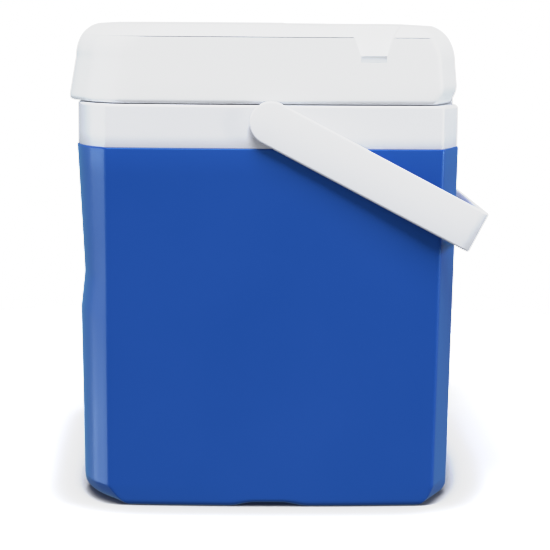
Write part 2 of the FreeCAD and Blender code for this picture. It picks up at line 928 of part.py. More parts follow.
def is_rim(edge):
    """True for the edges along the strap's two narrow sides."""
    low = edge.BoundBox
    half = strap_width / 2.0
    half_grip = grip_width / 2.0
    far_side = min(abs(low.ZMin), abs(low.ZMax)) > half_grip - 0.01
    round_end = low.ZMax - low.ZMin > half and low.YMax < 1.0
    return far_side or round_end


def make_bush():
    """Flanged cup in the collar that the handle's stud turns in."""
    body = rod(bush_body_radius, bush_end_x, bush_flange_end_x, 0.0, pivot_z)
    flange_x = end_top_x - collar_step + stud_fit
    flange = rod(bush_flange_radius, flange_x, bush_flange_end_x, 0.0, pivot_z)
    bore = rod(stud_radius + stud_fit, bush_chamber_x - 1.0, strap_outer_x, 0.0, pivot_z)
    chamber = rod(bush_chamber_radius, bush_floor_x, bush_chamber_x, 0.0, pivot_z)
    return body.fuse(flange).removeSplitter().cut(bore).cut(chamber)


def make_clip():
    """Retaining ring in the stud's groove."""
    low_x = clip_x - clip_thickness / 2.0
    high_x = clip_x + clip_thickness / 2.0
    disc = rod(clip_radius, low_x, high_x, 0.0, pivot_z)
    bore = rod(stud_groove_radius + stud_fit, low_x - 1.0, high_x + 1.0, 0.0, pivot_z)
    slot_low = (low_x - 1.0, -clip_slot_half, pivot_z)
    slot_high = (high_x + 1.0, clip_slot_half, pivot_z + margin)
    return disc.cut(bore).cut(box(slot_low, slot_high))


def main():
    os.makedirs("parts", exist_ok=True)
    export(make_outer_shell(tub_outside()), "outer_shell")
    export(make_inner_liner(collar_outside()), "inner_liner")
    export(make_body_foam(), "body_foam")
    export(fill_plug(base_plug_y, 0.0, tub_wall), "base_fill_plug")
    export(make_lid_shell(lid_outside()), "lid_shell")
    export(make_lid_panel(), "lid_panel")
    export(make_lid_foam(), "lid_foam")
    panel_face_z = lid_bottom + panel_gap - plug_depth
    export(fill_plug(0.0, panel_face_z, panel_thickness), "lid_fill_plug")
    export(make_handle(), "bail_handle")
    sides = {"right": 1, "left": -1}
    for side, sign in sides.items():
        export(make_leaf(sign * hinge_x, "body"), "hinge_leaf_body_" + side)
        export(make_leaf(sign * hinge_x, "lid"), "hinge_leaf_lid_" + side)
        half = leaf_width / 2.0
        export(barrel(hinge_pin_radius, sign * hinge_x, half), "hinge_pin_" + side)
        bush = make_bush() if sign > 0 else mirror_x(make_bush())
        clip = make_clip() if sign > 0 else mirror_x(make_clip())
        export(bush, "pivot_bush_" + side)
        export(clip, "pivot_clip_" + side)
    for side in ("body", "lid"):
        screws = screw_group(-hinge_x, side) + screw_group(hinge_x, side)
        export(Part.makeCompound(screws), "hinge_screws_" + side)


main()
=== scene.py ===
import json
import math

import bmesh
import bpy
from mathutils import Matrix, Vector


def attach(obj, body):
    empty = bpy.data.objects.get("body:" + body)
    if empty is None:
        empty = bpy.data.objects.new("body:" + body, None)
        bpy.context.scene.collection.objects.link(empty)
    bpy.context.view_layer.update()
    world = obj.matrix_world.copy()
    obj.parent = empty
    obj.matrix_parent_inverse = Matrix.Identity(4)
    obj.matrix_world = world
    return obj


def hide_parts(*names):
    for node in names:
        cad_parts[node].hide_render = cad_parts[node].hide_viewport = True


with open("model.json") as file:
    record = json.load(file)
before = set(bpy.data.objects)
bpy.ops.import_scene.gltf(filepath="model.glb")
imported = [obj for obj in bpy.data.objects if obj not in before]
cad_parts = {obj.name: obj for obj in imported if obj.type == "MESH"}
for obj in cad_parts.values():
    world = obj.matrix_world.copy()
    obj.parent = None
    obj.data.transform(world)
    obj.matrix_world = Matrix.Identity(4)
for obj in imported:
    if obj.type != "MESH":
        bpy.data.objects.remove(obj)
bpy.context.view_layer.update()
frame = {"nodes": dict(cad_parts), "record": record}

# The shapes below are in millimetres, in the frame's own axes, and MM turns them into metres.
MM = 0.001

# ---- tub ----
BODY_TOP = 294.5
TUB_WALL = 3.0
BASE_RADIUS = 11.0
END_BASE_RADIUS = 4.0
TOE_HEIGHT = 16.0
TOE_SLOPES = (0.75, 0.4)
LIP_RADIUS = 1.2
END_BOW = 4.0
SCOOP_DEPTH = 4.1
SCOOP_LOW_Z = 157.0
SCOOP_DEEP_Z = 188.0
# The scoop's kinks are rounded over this reach, and are drawn with rings at these offsets.
SCOOP_SOFTNESS = 3.0
SCOOP_OFFSETS = (-3.0, -1.0, 1.0, 3.0)
# (end x, front y, back y, front crease y, back crease y) at the floor and at the tub's top
TUB_BASE = (204.9, -154.6, 150.9, -131.1, 135.5)
TUB_TOP = (208.6, -159.8, 155.7, -133.0, 139.4)
ARCH_HEIGHT = 3.0
ARCH_HALF_FOOT = 33.0
ARCH_HALF_TOP = 11.0
ARCH_START_X = 138.0
ARCH_STEP = 0.012
PLUG_RADIUS = 10.0
BASE_PLUG_Y = -80.0

# ---- corners in plan ----
CHAMFER = (15.0, 12.0)
CURVE_X = 46.0
CURVE_BOW = 3.0
CREASE_RADIUS = 4.0
FACET_X = 42.0
FACET_RADIUS = 20.0

# ---- liner and collar ----
COLLAR_STEP = 1.0
COLLAR_TOP = 329.4
COLLAR_WALL = 3.0
# (y reach, z reach) of the round along the collar's back edge
COLLAR_BACK_ROUND = (6.0, 3.5)
COLLAR_EDGE_RADIUS = 2.0
COLLAR_FOOT_CHAMFER = 0.5
# (outer inset, inner inset, foot height) of the skirt that reaches down inside the tub
SKIRT = (3.2, 6.0, 281.0)
LEDGE_Z = 297.5
LINER_WALL = 2.5
LINER_FLOOR_Z = 32.0
LINER_FLOOR_RADIUS = 14.0
LINER_CORNER_RADIUS = 28.0
# (half length, front y, back y) of the liner's inside at its floor and at the rim
LINER_BASE = (174.0, -126.8, 121.4)
LINER_RIM = (181.0, -132.8, 127.4)
LINER_MOUTH_FLARE = 2.5
# (inner edge, outer edge, height) of the rim's bead, out from the liner's inside
BEAD = (4.0, 9.0, 0.5)
BEAD_STEPS = 8

# ---- lid ----
LID_BOTTOM = 330.1
LID_TOP = 393.0
LID_WALL = 3.0
LID_FRONT_Y = -168.6
LID_FRONT_LEAN = 5.9
LID_BACK_Y = 153.4
LID_BACK_LEAN = 1.6
# (height where it starts, reach inwards) of the rounds over the front and the back
LID_FRONT_ROUND = (366.0, 21.0)
LID_BACK_ROUND = (362.0, 23.0)
# (reach inwards, height) of the hollow cut under the back, and how much the wall thickens there
LID_CHAMFER = (6.0, 14.4)
LID_BACK_THICKENING = 4.0
LID_END_X = 207.6
LID_END_LEAN = 1.4
# (height where it starts, reach inwards) of the bevel over each end
LID_BEVEL = (383.5, 15.0)
LID_SOFTNESS = 0.8
# Hollow under the bevel of the lid's ends: start, ledge, rise of the overhang, depth.
LID_LEDGE = (345.0, 383.1, 0.8, 1.0)
# (reach inwards, height) of the lower edge's round
LID_EDGE = (2.4, 4.0)
LID_CORNER = (70.0, 44.0)
LID_CORNER_TURN_X = 18.0
LID_CORNER_RADII = (100.0, 60.0, 35.0)
LID_BACK_CORNER_Y = 16.0
LID_CREASE_RADIUS = 6.0
# Lowered rear of the lid's top: its front edge, depth, slope of its step, reach along X.
TRAY_START_Y = 18.0
TRAY_DEPTH = 0.5
TRAY_STEP = (1.5, -15.0)
TRAY_REACH_X = 260.0
PANEL_Z = (330.2, 332.7)
PLUG_DEPTH = 8.5
PLUG_GAP = 2.5
PLUG_FILLET = 1.2
PLUG_ROUND = 3.0
PANEL_EDGE_GAP = 0.4
# Dished middle of the cover's plug: its rim's width, the width of its flank, its depth.
PLUG_DISH = (16.0, 1.5, 0.8)
LID_FRONT_ARC = 26
LID_EDGE_STEPS = 5
# Where the lid's outside has rings: up its walls, about the ledge, and down from its top.
LID_WALL_LEVELS = (348.0, 354.0, 360.0, 363.0, 366.0, 368.5, 371.0, 373.5, 376.0, 378.5, 380.5)
LID_LEDGE_OFFSETS = (-1.1, -0.4, 0.0, 0.4, 0.8, 1.2)
LID_TOP_DROPS = (7.8, 6.6, 5.3, 4.1, 3.0, 2.1, 1.4, 0.9, 0.5, 0.25, 0.08, 0.0)
# Where its inside has rings, besides the starts of its edge, its hollow and its round.
VOID_LOW_LEVELS = (338.0, 341.5)
VOID_MIDDLE_LEVEL = 352.0
VOID_HIGH_LEVELS = (370.0, 376.0, 381.0, 385.5, 389.0, 391.5, LID_TOP - 0.2)

# ---- cup wells and drain ramps ----
WELL_X = 130.0
WELL_Y = 82.0
WELL_RADII = (34.5, 37.4)
WELL_FLOOR_Z = 378.5
WELL_FLOOR_ROUND = 4.0
WELL_RIM_ROUND = 1.6
# Radii at the foot and the top of the solid that is left round each well.
WELL_KEEP_RADII = (40.0, 41.0)
RAMP_TOP_X = 171.0
# (x, z) of the ramp's lower end
RAMP_FOOT = (203.8, 369.0)
# How far along X the ramp moves for each unit of wall under it
RAMP_WALL_RUN = 1.6
NOTCH_FLOOR_Z = 363.5
NOTCH_UNDERCUT = 3.6
NOTCH_EDGE_RADIUS = 0.7
# Half width at the ramp's foot, half width higher up, and the height of that
NOTCH_HALF = (10.4, 15.5, 383.0)
# The notch's flanks flare out from this height, by this much over this rise.
NOTCH_FLARE = (380.5, 1.6, 8.0)

# ---- hinges ----
HINGE_X = 105.0
HINGE_Y = 150.7
HINGE_Z = 332.0
BARREL_RADIUS = 3.6
BARREL_GAP = 0.5
LEAF_WIDTH = 40.0
LEAF_THICKNESS = 2.0
LEAF_LEAN = 5.3
LEAF_CLEARANCE = 0.15
BODY_LEAF_FOOT_Z = 306.0
LID_LEAF_TOP_Z = 366.0
# Thick part of the lid's back wall that takes the screws: depth from the pins, gap, top height.
HINGE_BOSS = (10.4, 0.3, 369.0)

# ---- handle ----
PIVOT_Z = 315.3
STRAP_OUTER_X = 216.0
STRAP_THICKNESS = 6.0
STRAP_HALF_WIDTH = 17.45
GRIP_HALF_WIDTH = 17.35
GRIP_INNER = 183.0
GRIP_OUTER = 189.6
BEND_RADII = (9.0, 4.0)
BEND_STEPS = 12
HANDLE_EDGE_RADIUS = 1.6
STUD_RADIUS = 6.5
STUD_END_X = 188.4
REST_ANGLE = -27.5

# Edges that turn by more degrees than this are shaded sharp.
SHARP_ANGLE = 32.0
# Edges of the notch that turn by more degrees than this are rounded.
ROUNDED_ANGLE = 28.0

# How far cutters reach past a wall.
PAST_WALL = 20.0

# How many steps each stretch of an outline is drawn with.
CURVE_STEPS = 10
CHAMFER_STEPS = 3
CREASE_STEPS = 5
END_STEPS = 80
FACET_STEPS = 8
FACET_ARC_STEPS = 6
WALL_STEPS = 60
ROUND_STEPS = 8
LATHE_STEPS = 64
WELL_STEPS = 128
RAMP_STEPS = 16


# ======== outlines ========
# A corner is (x, y, radius, bow of the edge that leaves it, arc steps, edge steps).


def edge_angles(start, end, bow):
    """Headings at the two ends of an edge that bows outwards."""
    chord = (end[0] - start[0], end[1] - start[1])
    swing = 2.0 * math.atan(2.0 * bow / math.hypot(*chord))
    along = math.atan2(chord[1], chord[0])
    return along - swing, along + swing


def outline(corners):
    """Points of an anticlockwise outline, with round corners and bowed edges."""
    count = len(corners)
    angles = [
        edge_angles(corners[i], corners[(i + 1) % count], corners[i][3])
        for i in range(count)
    ]
    arcs = []
    for i, (x, y, radius, _, steps, _) in enumerate(corners):
        arrive = angles[i - 1][1]
        turn = (angles[i][0] - arrive + math.pi) % (2.0 * math.pi) - math.pi
        if radius == 0.0:
            arcs.append([(x, y)])
            continue
        reach = radius * math.tan(turn / 2.0)
        centre_x = x - reach * math.cos(arrive) - radius * math.sin(arrive)
        centre_y = y - reach * math.sin(arrive) + radius * math.cos(arrive)
        arc = []
        for k in range(steps + 1):
            angle = arrive - math.pi / 2.0 + turn * k / steps
            arc.append((centre_x + radius * math.cos(angle), centre_y + radius * math.sin(angle)))
        arcs.append(arc)
    points = []
    for i in range(count):
        points += arcs[i]
        start = arcs[i][-1]
        end = arcs[(i + 1) % count][0]
        points += edge_points(start, end, (angles[i][1] - angles[i][0]) / 2.0, corners[i][5])
    return points


def edge_points(start, end, swing, steps):
    """Points between the ends of an edge: straight, or on an arc that swings through 2 * swing."""
    length = math.hypot(end[0] - start[0], end[1] - start[1])
    along = ((end[0] - start[0]) / length, (end[1] - start[1]) / length)
    out = (along[1], -along[0])
    points = []
    for k in range(1, steps):
        if abs(swing) < 1e-6:
            u = length * k / steps
            v = 0.0
        else:
            radius = length / (2.0 * math.sin(swing))
            angle = swing * (2.0 * k / steps - 1.0)
            u = radius * (math.sin(angle) + math.sin(swing))
            v = radius * (math.cos(angle) - math.cos(swing))
        points.append(
            (start[0] + along[0] * u + out[0] * v, start[1] + along[1] * u + out[1] * v)
        )
    return points


def inset(corners, distance):
    """Corners moved inwards by a distance, or outwards when it is negative."""
    moved = []
    count = len(corners)
    for i, (x, y, radius, bow, arc_steps, edge_steps) in enumerate(corners):
        before = Vector((x - corners[i - 1][0], y - corners[i - 1][1])).normalized()
        after = corners[(i + 1) % count]
        leaving = Vector((after[0] - x, after[1] - y)).normalized()
        normal_in = Vector((-before.y, before.x))
        normal_out = Vector((-leaving.y, leaving.x))
        shift = (normal_in + normal_out) * (distance / (1.0 + normal_in.dot(normal_out)))
        new_radius = max(radius - distance, 0.6) if radius > 0.0 else 0.0
        moved.append((x + shift.x, y + shift.y, new_radius, bow, arc_steps, edge_steps))
    return moved


def mirrored(right, front_steps):
    """Whole outline from the corners of its +X side, front to back."""
    left = []
    for i in reversed(range(len(right))):
        x, y, radius, _, arc_steps, _ = right[i]
        bow = right[i - 1][3] if i > 0 else 0.0
        edge_steps = right[i - 1][5] if i > 0 else front_steps
        left.append((-x, y, radius, bow, arc_steps, edge_steps))
    return right + left


def ring(corners, z):
    return [Vector((x, y, z)) for x, y in outline(corners)]


def mix(low, high, share):
    return low + (high - low) * share


def softened(shape, z, reach):
    """Average of a height function about z, which rounds off its kinks."""
    samples = 7
    total = sum(shape(z + reach * (2.0 * k / (samples - 1) - 1.0)) for k in range(samples))
    return total / samples


def chest_corners(sizes, drawn_in, end_out=0.0):
    """Corners of the chest's plan, with its front drawn in and its end creases moved out."""
    end_x, front_y, back_y, front_crease_y, back_crease_y = sizes
    corner_x = end_x - END_BOW
    crease_x = corner_x + end_out
    curve_x = corner_x - CHAMFER[0]
    right = [
        (curve_x - CURVE_X, front_y + drawn_in, 0.0, CURVE_BOW, 0, CURVE_STEPS),
        (curve_x, front_crease_y - CHAMFER[1] + drawn_in / 2.0, 0.0, 0.0, 0, CHAMFER_STEPS),
        (crease_x, front_crease_y, CREASE_RADIUS, END_BOW, CREASE_STEPS, END_STEPS),
        (crease_x, back_crease_y, CREASE_RADIUS, 0.0, CREASE_STEPS, FACET_STEPS),
        (corner_x - FACET_X, back_y, FACET_RADIUS, 0.0, FACET_ARC_STEPS, WALL_STEPS),
    ]
    return mirrored(right, WALL_STEPS)


def scoop(z):
    """How far the front wall is drawn in under the collar."""
    if z <= SCOOP_LOW_Z or z >= BODY_TOP:
        return 0.0
    if z <= SCOOP_DEEP_Z:
        return SCOOP_DEPTH * (z - SCOOP_LOW_Z) / (SCOOP_DEEP_Z - SCOOP_LOW_Z)
    return SCOOP_DEPTH * (BODY_TOP - z) / (BODY_TOP - SCOOP_DEEP_Z)


def tub_corners(z, distance=0.0, end_out=0.0):
    """Tub's outline at a height, its corners cut back towards the floor."""
    share = z / BODY_TOP
    toe = max(0.0, TOE_HEIGHT - z)
    sizes = [mix(low, high, share) for low, high in zip(TUB_BASE, TUB_TOP)]
    sizes[3] += toe * TOE_SLOPES[0]
    sizes[4] -= toe * TOE_SLOPES[1]
    drawn_in = softened(scoop, z, SCOOP_SOFTNESS)
    return inset(chest_corners(sizes, drawn_in, end_out), distance)


def base_corners(across, z):
    """Tub's outline in its rounded foot, which is rounded less under the end faces."""
    below = max(0.0, END_BASE_RADIUS - z)
    end_across = END_BASE_RADIUS - math.sqrt(END_BASE_RADIUS**2 - below**2)
    return tub_corners(z, BASE_RADIUS * across, BASE_RADIUS * across - end_across)


def collar_corners(distance, back_inset=0.0):
    """Collar's outline moved in by a distance, and its back by a further one."""
    corners = []
    for x, y, radius, bow, arc_steps, edge_steps in inset(
        chest_corners(TUB_TOP, 0.0), COLLAR_STEP + distance
    ):
        at_back = y > TUB_TOP[4] + 2.0
        corners.append((x, y - back_inset if at_back else y, radius, bow, arc_steps, edge_steps))
    return corners


def liner_corners(z, distance=0.0, front_arc=CURVE_STEPS + CHAMFER_STEPS + CREASE_STEPS):
    """Rounded rectangle of the liner's inside, with as many points as the outline round it."""
    share = (z - LINER_FLOOR_Z) / (COLLAR_TOP - LINER_FLOOR_Z)
    half_x, front_y, back_y = [mix(low, high, share) for low, high in zip(LINER_BASE, LINER_RIM)]
    back_arc = CREASE_STEPS + FACET_STEPS + FACET_ARC_STEPS
    right = [
        (half_x, front_y, LINER_CORNER_RADIUS, 0.0, front_arc, END_STEPS),
        (half_x, back_y, LINER_CORNER_RADIUS, 0.0, back_arc, WALL_STEPS),
    ]
    return inset(mirrored(right, WALL_STEPS), distance)


def quarter(steps):
    """Pairs (across, up) round a unit quarter circle from its foot to its side."""
    for i in range(steps + 1):
        angle = math.pi / 2.0 * i / steps
        yield 1.0 - math.sin(angle), 1.0 - math.cos(angle)


def spread(low, high, steps):
    """Heights strictly between two heights."""
    return [mix(low, high, k / steps) for k in range(1, steps)]


# ======== mesh making ========


def finish_mesh(name, mesh_data):
    """New object from a bmesh in millimetres, shaded smooth except at its sharp edges."""
    bmesh.ops.remove_doubles(mesh_data, verts=mesh_data.verts, dist=1e-4)
    bmesh.ops.recalc_face_normals(mesh_data, faces=mesh_data.faces)
    bmesh.ops.scale(mesh_data, vec=(MM, MM, MM), verts=mesh_data.verts)
    for face in mesh_data.faces:
        face.smooth = True
    mesh = bpy.data.meshes.new(name)
    mesh_data.to_mesh(mesh)
    mesh_data.free()
    mesh.set_sharp_from_angle(angle=math.radians(SHARP_ANGLE))
    piece = bpy.data.objects.new(name, mesh)
    bpy.context.scene.collection.objects.link(piece)
    return piece


def close_end(mesh_data, row, ladder):
    """Caps a ring with one flat face, or with rungs from side to side when it is bent."""
    if not ladder:
        mesh_data.faces.new(row)
        return
    count = len(row)
    mesh_data.faces.new((row[0], row[1], row[-1]))
    for i in range(1, count // 2 - 1):
        mesh_data.faces.new((row[i], row[i + 1], row[count - i - 1], row[count - i]))
    middle = count // 2
    mesh_data.faces.new((row[middle - 1], row[middle], row[middle + 1]))


def skin(name, rings, ladder=False):
    """Closed piece through rings of equal length."""
    mesh_data = bmesh.new()
    rows = [[mesh_data.verts.new(point) for point in points] for points in rings]
    count = len(rows[0])
    for lower, upper in zip(rows, rows[1:]):
        for i in range(count):
            j = (i + 1) % count
            mesh_data.faces.new((lower[i], lower[j], upper[j], upper[i]))
    close_end(mesh_data, list(reversed(rows[0])), ladder)
    close_end(mesh_data, rows[-1], ladder)
    return finish_mesh(name, mesh_data)


def lathe(name, profile, centre, steps):
    """Closed solid of revolution about a vertical line through centre."""
    x, y = centre
    angles = [2.0 * math.pi * k / steps for k in range(steps)]
    turns = [(math.cos(angle), math.sin(angle)) for angle in angles]
    rings = []
    for radius, z in profile:
        rings.append([Vector((x + radius * u, y + radius * v, z)) for u, v in turns])
    return skin(name, rings)


def prism(name, polygon, direction):
    """Closed solid that a polygon sweeps along a vector."""
    low = [Vector(point) for point in polygon]
    high = [point + Vector(direction) for point in low]
    return skin(name, [low, high])


def block(name, low, high):
    sides = [(low[0], low[1]), (high[0], low[1]), (high[0], high[1]), (low[0], high[1])]
    return prism(name, [(x, y, low[2]) for x, y in sides], (0.0, 0.0, high[2] - low[2]))


def rod_x(name, radius, x_low, x_high, y, z, steps=48):
    polygon = []
    for k in range(steps):
        angle = 2.0 * math.pi * k / steps
        polygon.append((x_low, y + radius * math.cos(angle), z + radius * math.sin(angle)))
    return prism(name, polygon, (x_high - x_low, 0.0, 0.0))


def mirror_copy(piece):
    copy = piece.copy()
    copy.data = piece.data.copy()
    copy.data.transform(Matrix.Scale(-1.0, 4, (1.0, 0.0, 0.0)))
    copy.data.flip_normals()
    bpy.context.scene.collection.objects.link(copy)
    return copy


def pair(piece):
    return [piece, mirror_copy(piece)]


def combine(piece, others, operation):
    """Joins each closed piece to the first or cuts it out of it, and removes the others."""
    for other in others:
        step = piece.modifiers.new("step", "BOOLEAN")
        step.operation = operation
        step.solver = "EXACT"
        step.object = other
    graph = bpy.context.evaluated_depsgraph_get()
    result = bpy.data.meshes.new_from_object(piece.evaluated_get(graph))
    piece.modifiers.clear()
    piece.data = result
    for other in others:
        bpy.data.objects.remove(other)
    for polygon in result.polygons:
        polygon.use_smooth = True
    result.set_sharp_from_angle(angle=math.radians(SHARP_ANGLE))
    return piece


def carve(piece, cutters):
    return combine(piece, cutters, "DIFFERENCE")


def soften_edges(piece, inside, width, least_angle):
    """Rounds the sharp edges that lie wholly inside a region, given as a test of a point in mm."""
    mesh_data = bmesh.new()
    mesh_data.from_mesh(piece.data)
    chosen = []
    for edge in mesh_data.edges:
        if len(edge.link_faces) != 2:
            continue
        if edge.calc_face_angle(0.0) < math.radians(least_angle):
            continue
        if all(inside(vert.co / MM) for vert in edge.verts):
            chosen.append(edge)
    bmesh.ops.bevel(
        mesh_data,
        geom=chosen,
        offset=width * MM,
        segments=3,
        profile=0.5,
        affect="EDGES",
        clamp_overlap=True,
    )
    for face in mesh_data.faces:
        face.smooth = True
    mesh_data.to_mesh(piece.data)
    mesh_data.free()
    piece.data.set_sharp_from_angle(angle=math.radians(SHARP_ANGLE))


# ======== the pieces ========


def arch_lift(y):
    """Height of the arch under an end of the base: flat across its middle, with soft flanks."""
    share = (ARCH_HALF_FOOT - abs(y)) / (ARCH_HALF_FOOT - ARCH_HALF_TOP)
    share = max(0.0, min(1.0, share))
    return ARCH_HEIGHT * share * share * (3.0 - 2.0 * share)


def lifted(points, amount):
    """Ring with both its ends raised over the arches."""
    raised = []
    for point in points:
        at_end = abs(point.x) > ARCH_START_X
        lift = arch_lift(point.y) * amount if at_end else 0.0
        raised.append(Vector((point.x, point.y, point.z + lift)))
    return raised


def shrunk(points, share):
    return [Vector((point.x * share, point.y * share, point.z)) for point in points]


def make_tub():
    """Blue tub, from its arched foot up its outside, over its lip and down its inside."""
    foot = ring(base_corners(1.0, 0.0), 0.0)
    arch_end = ARCH_START_X / (TUB_BASE[0] - END_BASE_RADIUS)
    rings = [shrunk(foot, 0.5), shrunk(foot, arch_end)]
    rings.append(lifted(shrunk(foot, arch_end + ARCH_STEP), 1.0))
    for across, up in quarter(ROUND_STEPS):
        z = BASE_RADIUS * up
        rings.append(lifted(ring(base_corners(across, z), z), 1.0 - up))
    heights = [TOE_HEIGHT - 2.5, TOE_HEIGHT, TOE_HEIGHT + 1.0]
    heights += spread(TOE_HEIGHT, SCOOP_LOW_Z - 2.0 * SCOOP_SOFTNESS, 6)
    heights += [SCOOP_LOW_Z + offset for offset in SCOOP_OFFSETS]
    heights += spread(SCOOP_LOW_Z + SCOOP_SOFTNESS, SCOOP_DEEP_Z - SCOOP_SOFTNESS, 2)
    heights += [SCOOP_DEEP_Z + offset for offset in SCOOP_OFFSETS]
    heights += spread(SCOOP_DEEP_Z + SCOOP_SOFTNESS, BODY_TOP - LIP_RADIUS, 5)
    rings += [ring(tub_corners(z), z) for z in heights]
    for across, up in reversed(list(quarter(4))):
        z = BODY_TOP - LIP_RADIUS * up
        rings.append(ring(tub_corners(BODY_TOP, LIP_RADIUS * across), z))
    for z in (BODY_TOP, SCOOP_DEEP_Z, SCOOP_LOW_Z, TOE_HEIGHT, BASE_RADIUS):
        rings.append(ring(tub_corners(z, TUB_WALL), z))
    floor_z = TUB_WALL + ARCH_HEIGHT
    rings.append(ring(tub_corners(floor_z, BASE_RADIUS), floor_z))
    tub = skin("tub", rings)
    bore = [(PLUG_RADIUS, -5.0), (PLUG_RADIUS, 10.0)]
    hole = lathe("hole", bore, (0.0, BASE_PLUG_Y), LATHE_STEPS)
    return carve(tub, [hole])


def make_liner():
    """Liner and collar in one: up the liner's outside, round the collar, and down its inside."""
    rings = []
    outside_radius = LINER_FLOOR_RADIUS + LINER_WALL
    for across, up in quarter(4):
        z = LINER_FLOOR_Z - LINER_WALL + outside_radius * up
        rings.append(ring(liner_corners(z, outside_radius * across - LINER_WALL), z))
    void_top = COLLAR_TOP - COLLAR_WALL
    rings.append(ring(liner_corners(void_top, -LINER_WALL), void_top))
    rings.append(ring(collar_corners(COLLAR_WALL), void_top))
    rings.append(ring(collar_corners(COLLAR_WALL), LEDGE_Z))
    rings.append(ring(tub_corners(BODY_TOP, SKIRT[1]), LEDGE_Z))
    rings.append(ring(tub_corners(SKIRT[2], SKIRT[1]), SKIRT[2]))
    rings.append(ring(tub_corners(SKIRT[2], SKIRT[0]), SKIRT[2]))
    rings.append(ring(tub_corners(BODY_TOP, SKIRT[0]), BODY_TOP))
    for across, up in ((1.0, 0.0), (0.3, 0.3), (0.0, 1.0)):
        z = BODY_TOP + COLLAR_FOOT_CHAMFER * up
        rings.append(ring(collar_corners(COLLAR_FOOT_CHAMFER * across), z))
    round_y, round_z = COLLAR_BACK_ROUND
    round_foot = COLLAR_TOP - round_z
    for z in spread(BODY_TOP, round_foot, 3):
        rings.append(ring(collar_corners(0.0), z))
    edge_foot = math.asin(1.0 - COLLAR_EDGE_RADIUS / round_z)
    angles = [edge_foot * k / 3.0 for k in range(4)]
    angles += [mix(edge_foot, math.pi / 2.0, k / 6.0) for k in range(1, 7)]
    for angle in angles:
        z = round_foot + round_z * math.sin(angle)
        above = max(0.0, z - (COLLAR_TOP - COLLAR_EDGE_RADIUS))
        edge = COLLAR_EDGE_RADIUS - math.sqrt(max(0.0, COLLAR_EDGE_RADIUS**2 - above**2))
        back = round_y * (1.0 - math.cos(angle))
        rings.append(ring(collar_corners(edge, max(0.0, back - edge)), z))
    rings += bead_rings()
    for across, _ in quarter(5):
        drop = 1.0 - math.sqrt(max(0.0, 1.0 - (1.0 - across) ** 2))
        z = COLLAR_TOP - LINER_MOUTH_FLARE * drop
        rings.append(ring(liner_corners(COLLAR_TOP, -LINER_MOUTH_FLARE * across), z))
    for z in spread(COLLAR_TOP, LINER_FLOOR_Z + LINER_FLOOR_RADIUS, 8):
        rings.append(ring(liner_corners(z), z))
    for across, up in reversed(list(quarter(ROUND_STEPS))):
        z = LINER_FLOOR_Z + LINER_FLOOR_RADIUS * up
        rings.append(ring(liner_corners(z, LINER_FLOOR_RADIUS * across), z))
    liner = skin("liner_and_collar", rings)
    cutters = []
    for sign in (-1.0, 1.0):
        foot_z = BODY_LEAF_FOOT_Z - LEAF_CLEARANCE
        cutters.append(leaf_pocket(sign * HINGE_X, foot_z, HINGE_Z + PAST_WALL))
        cutters.append(barrel_room(sign * HINGE_X))
    return carve(liner, cutters)


def bead_rings():
    """Rounded bead that runs round the rim and carries the lid."""
    inner, outer, height = BEAD
    middle = (inner + outer) / 2.0
    half = (outer - inner) / 2.0
    rings = []
    for k in range(BEAD_STEPS + 1):
        angle = math.pi * k / BEAD_STEPS
        distance = -(middle + half * math.cos(angle))
        z = COLLAR_TOP + height * math.sin(angle)
        rings.append(ring(liner_corners(COLLAR_TOP, distance), z))
    return rings


def lid_front(z):
    """Y of the lid's leaning front, which rounds over to the top."""
    lean = LID_FRONT_LEAN * (z - LID_BOTTOM) / (LID_FRONT_ROUND[0] - LID_BOTTOM)
    if z <= LID_FRONT_ROUND[0]:
        return LID_FRONT_Y + lean
    share = (z - LID_FRONT_ROUND[0]) / (LID_TOP - LID_FRONT_ROUND[0])
    round_in = LID_FRONT_ROUND[1] * (1.0 - math.sqrt(max(0.0, 1.0 - share**2)))
    return LID_FRONT_Y + LID_FRONT_LEAN + round_in


def lid_back(z):
    """Y of the lid's back: hollow low down, then leaning, then rounded over to the top."""
    chamfer_top = LID_BOTTOM + LID_CHAMFER[1]
    if z <= chamfer_top:
        return LID_BACK_Y - LID_CHAMFER[0] * ((chamfer_top - z) / LID_CHAMFER[1]) ** 2
    lean = LID_BACK_LEAN * (z - chamfer_top) / (LID_BACK_ROUND[0] - chamfer_top)
    if z <= LID_BACK_ROUND[0]:
        return LID_BACK_Y - lean
    share = (z - LID_BACK_ROUND[0]) / (LID_TOP - LID_BACK_ROUND[0])
    round_in = LID_BACK_ROUND[1] * (1.0 - math.sqrt(max(0.0, 1.0 - share**2)))
    return LID_BACK_Y - LID_BACK_LEAN - round_in


def lid_end(z):
    """X of the lid's leaning end and of the bevel over it."""
    bevel_z, bevel_x = LID_BEVEL
    if z <= bevel_z:
        return LID_END_X - LID_END_LEAN * (z - LID_BOTTOM) / (bevel_z - LID_BOTTOM)
    share = (z - bevel_z) / (LID_TOP - bevel_z)
    return LID_END_X - LID_END_LEAN - bevel_x * (0.75 * share + 0.25 * share**3)


def lid_ledge(z):
    """Slight hollow of the lid's end wall, closed by a small overhang under the bevel."""
    start_z, ledge_z, rise, depth = LID_LEDGE
    if z <= start_z or z >= ledge_z + rise:
        return 0.0
    if z <= ledge_z:
        return depth * (z - start_z) / (ledge_z - start_z)
    return depth * (1.0 - (z - ledge_z) / rise)


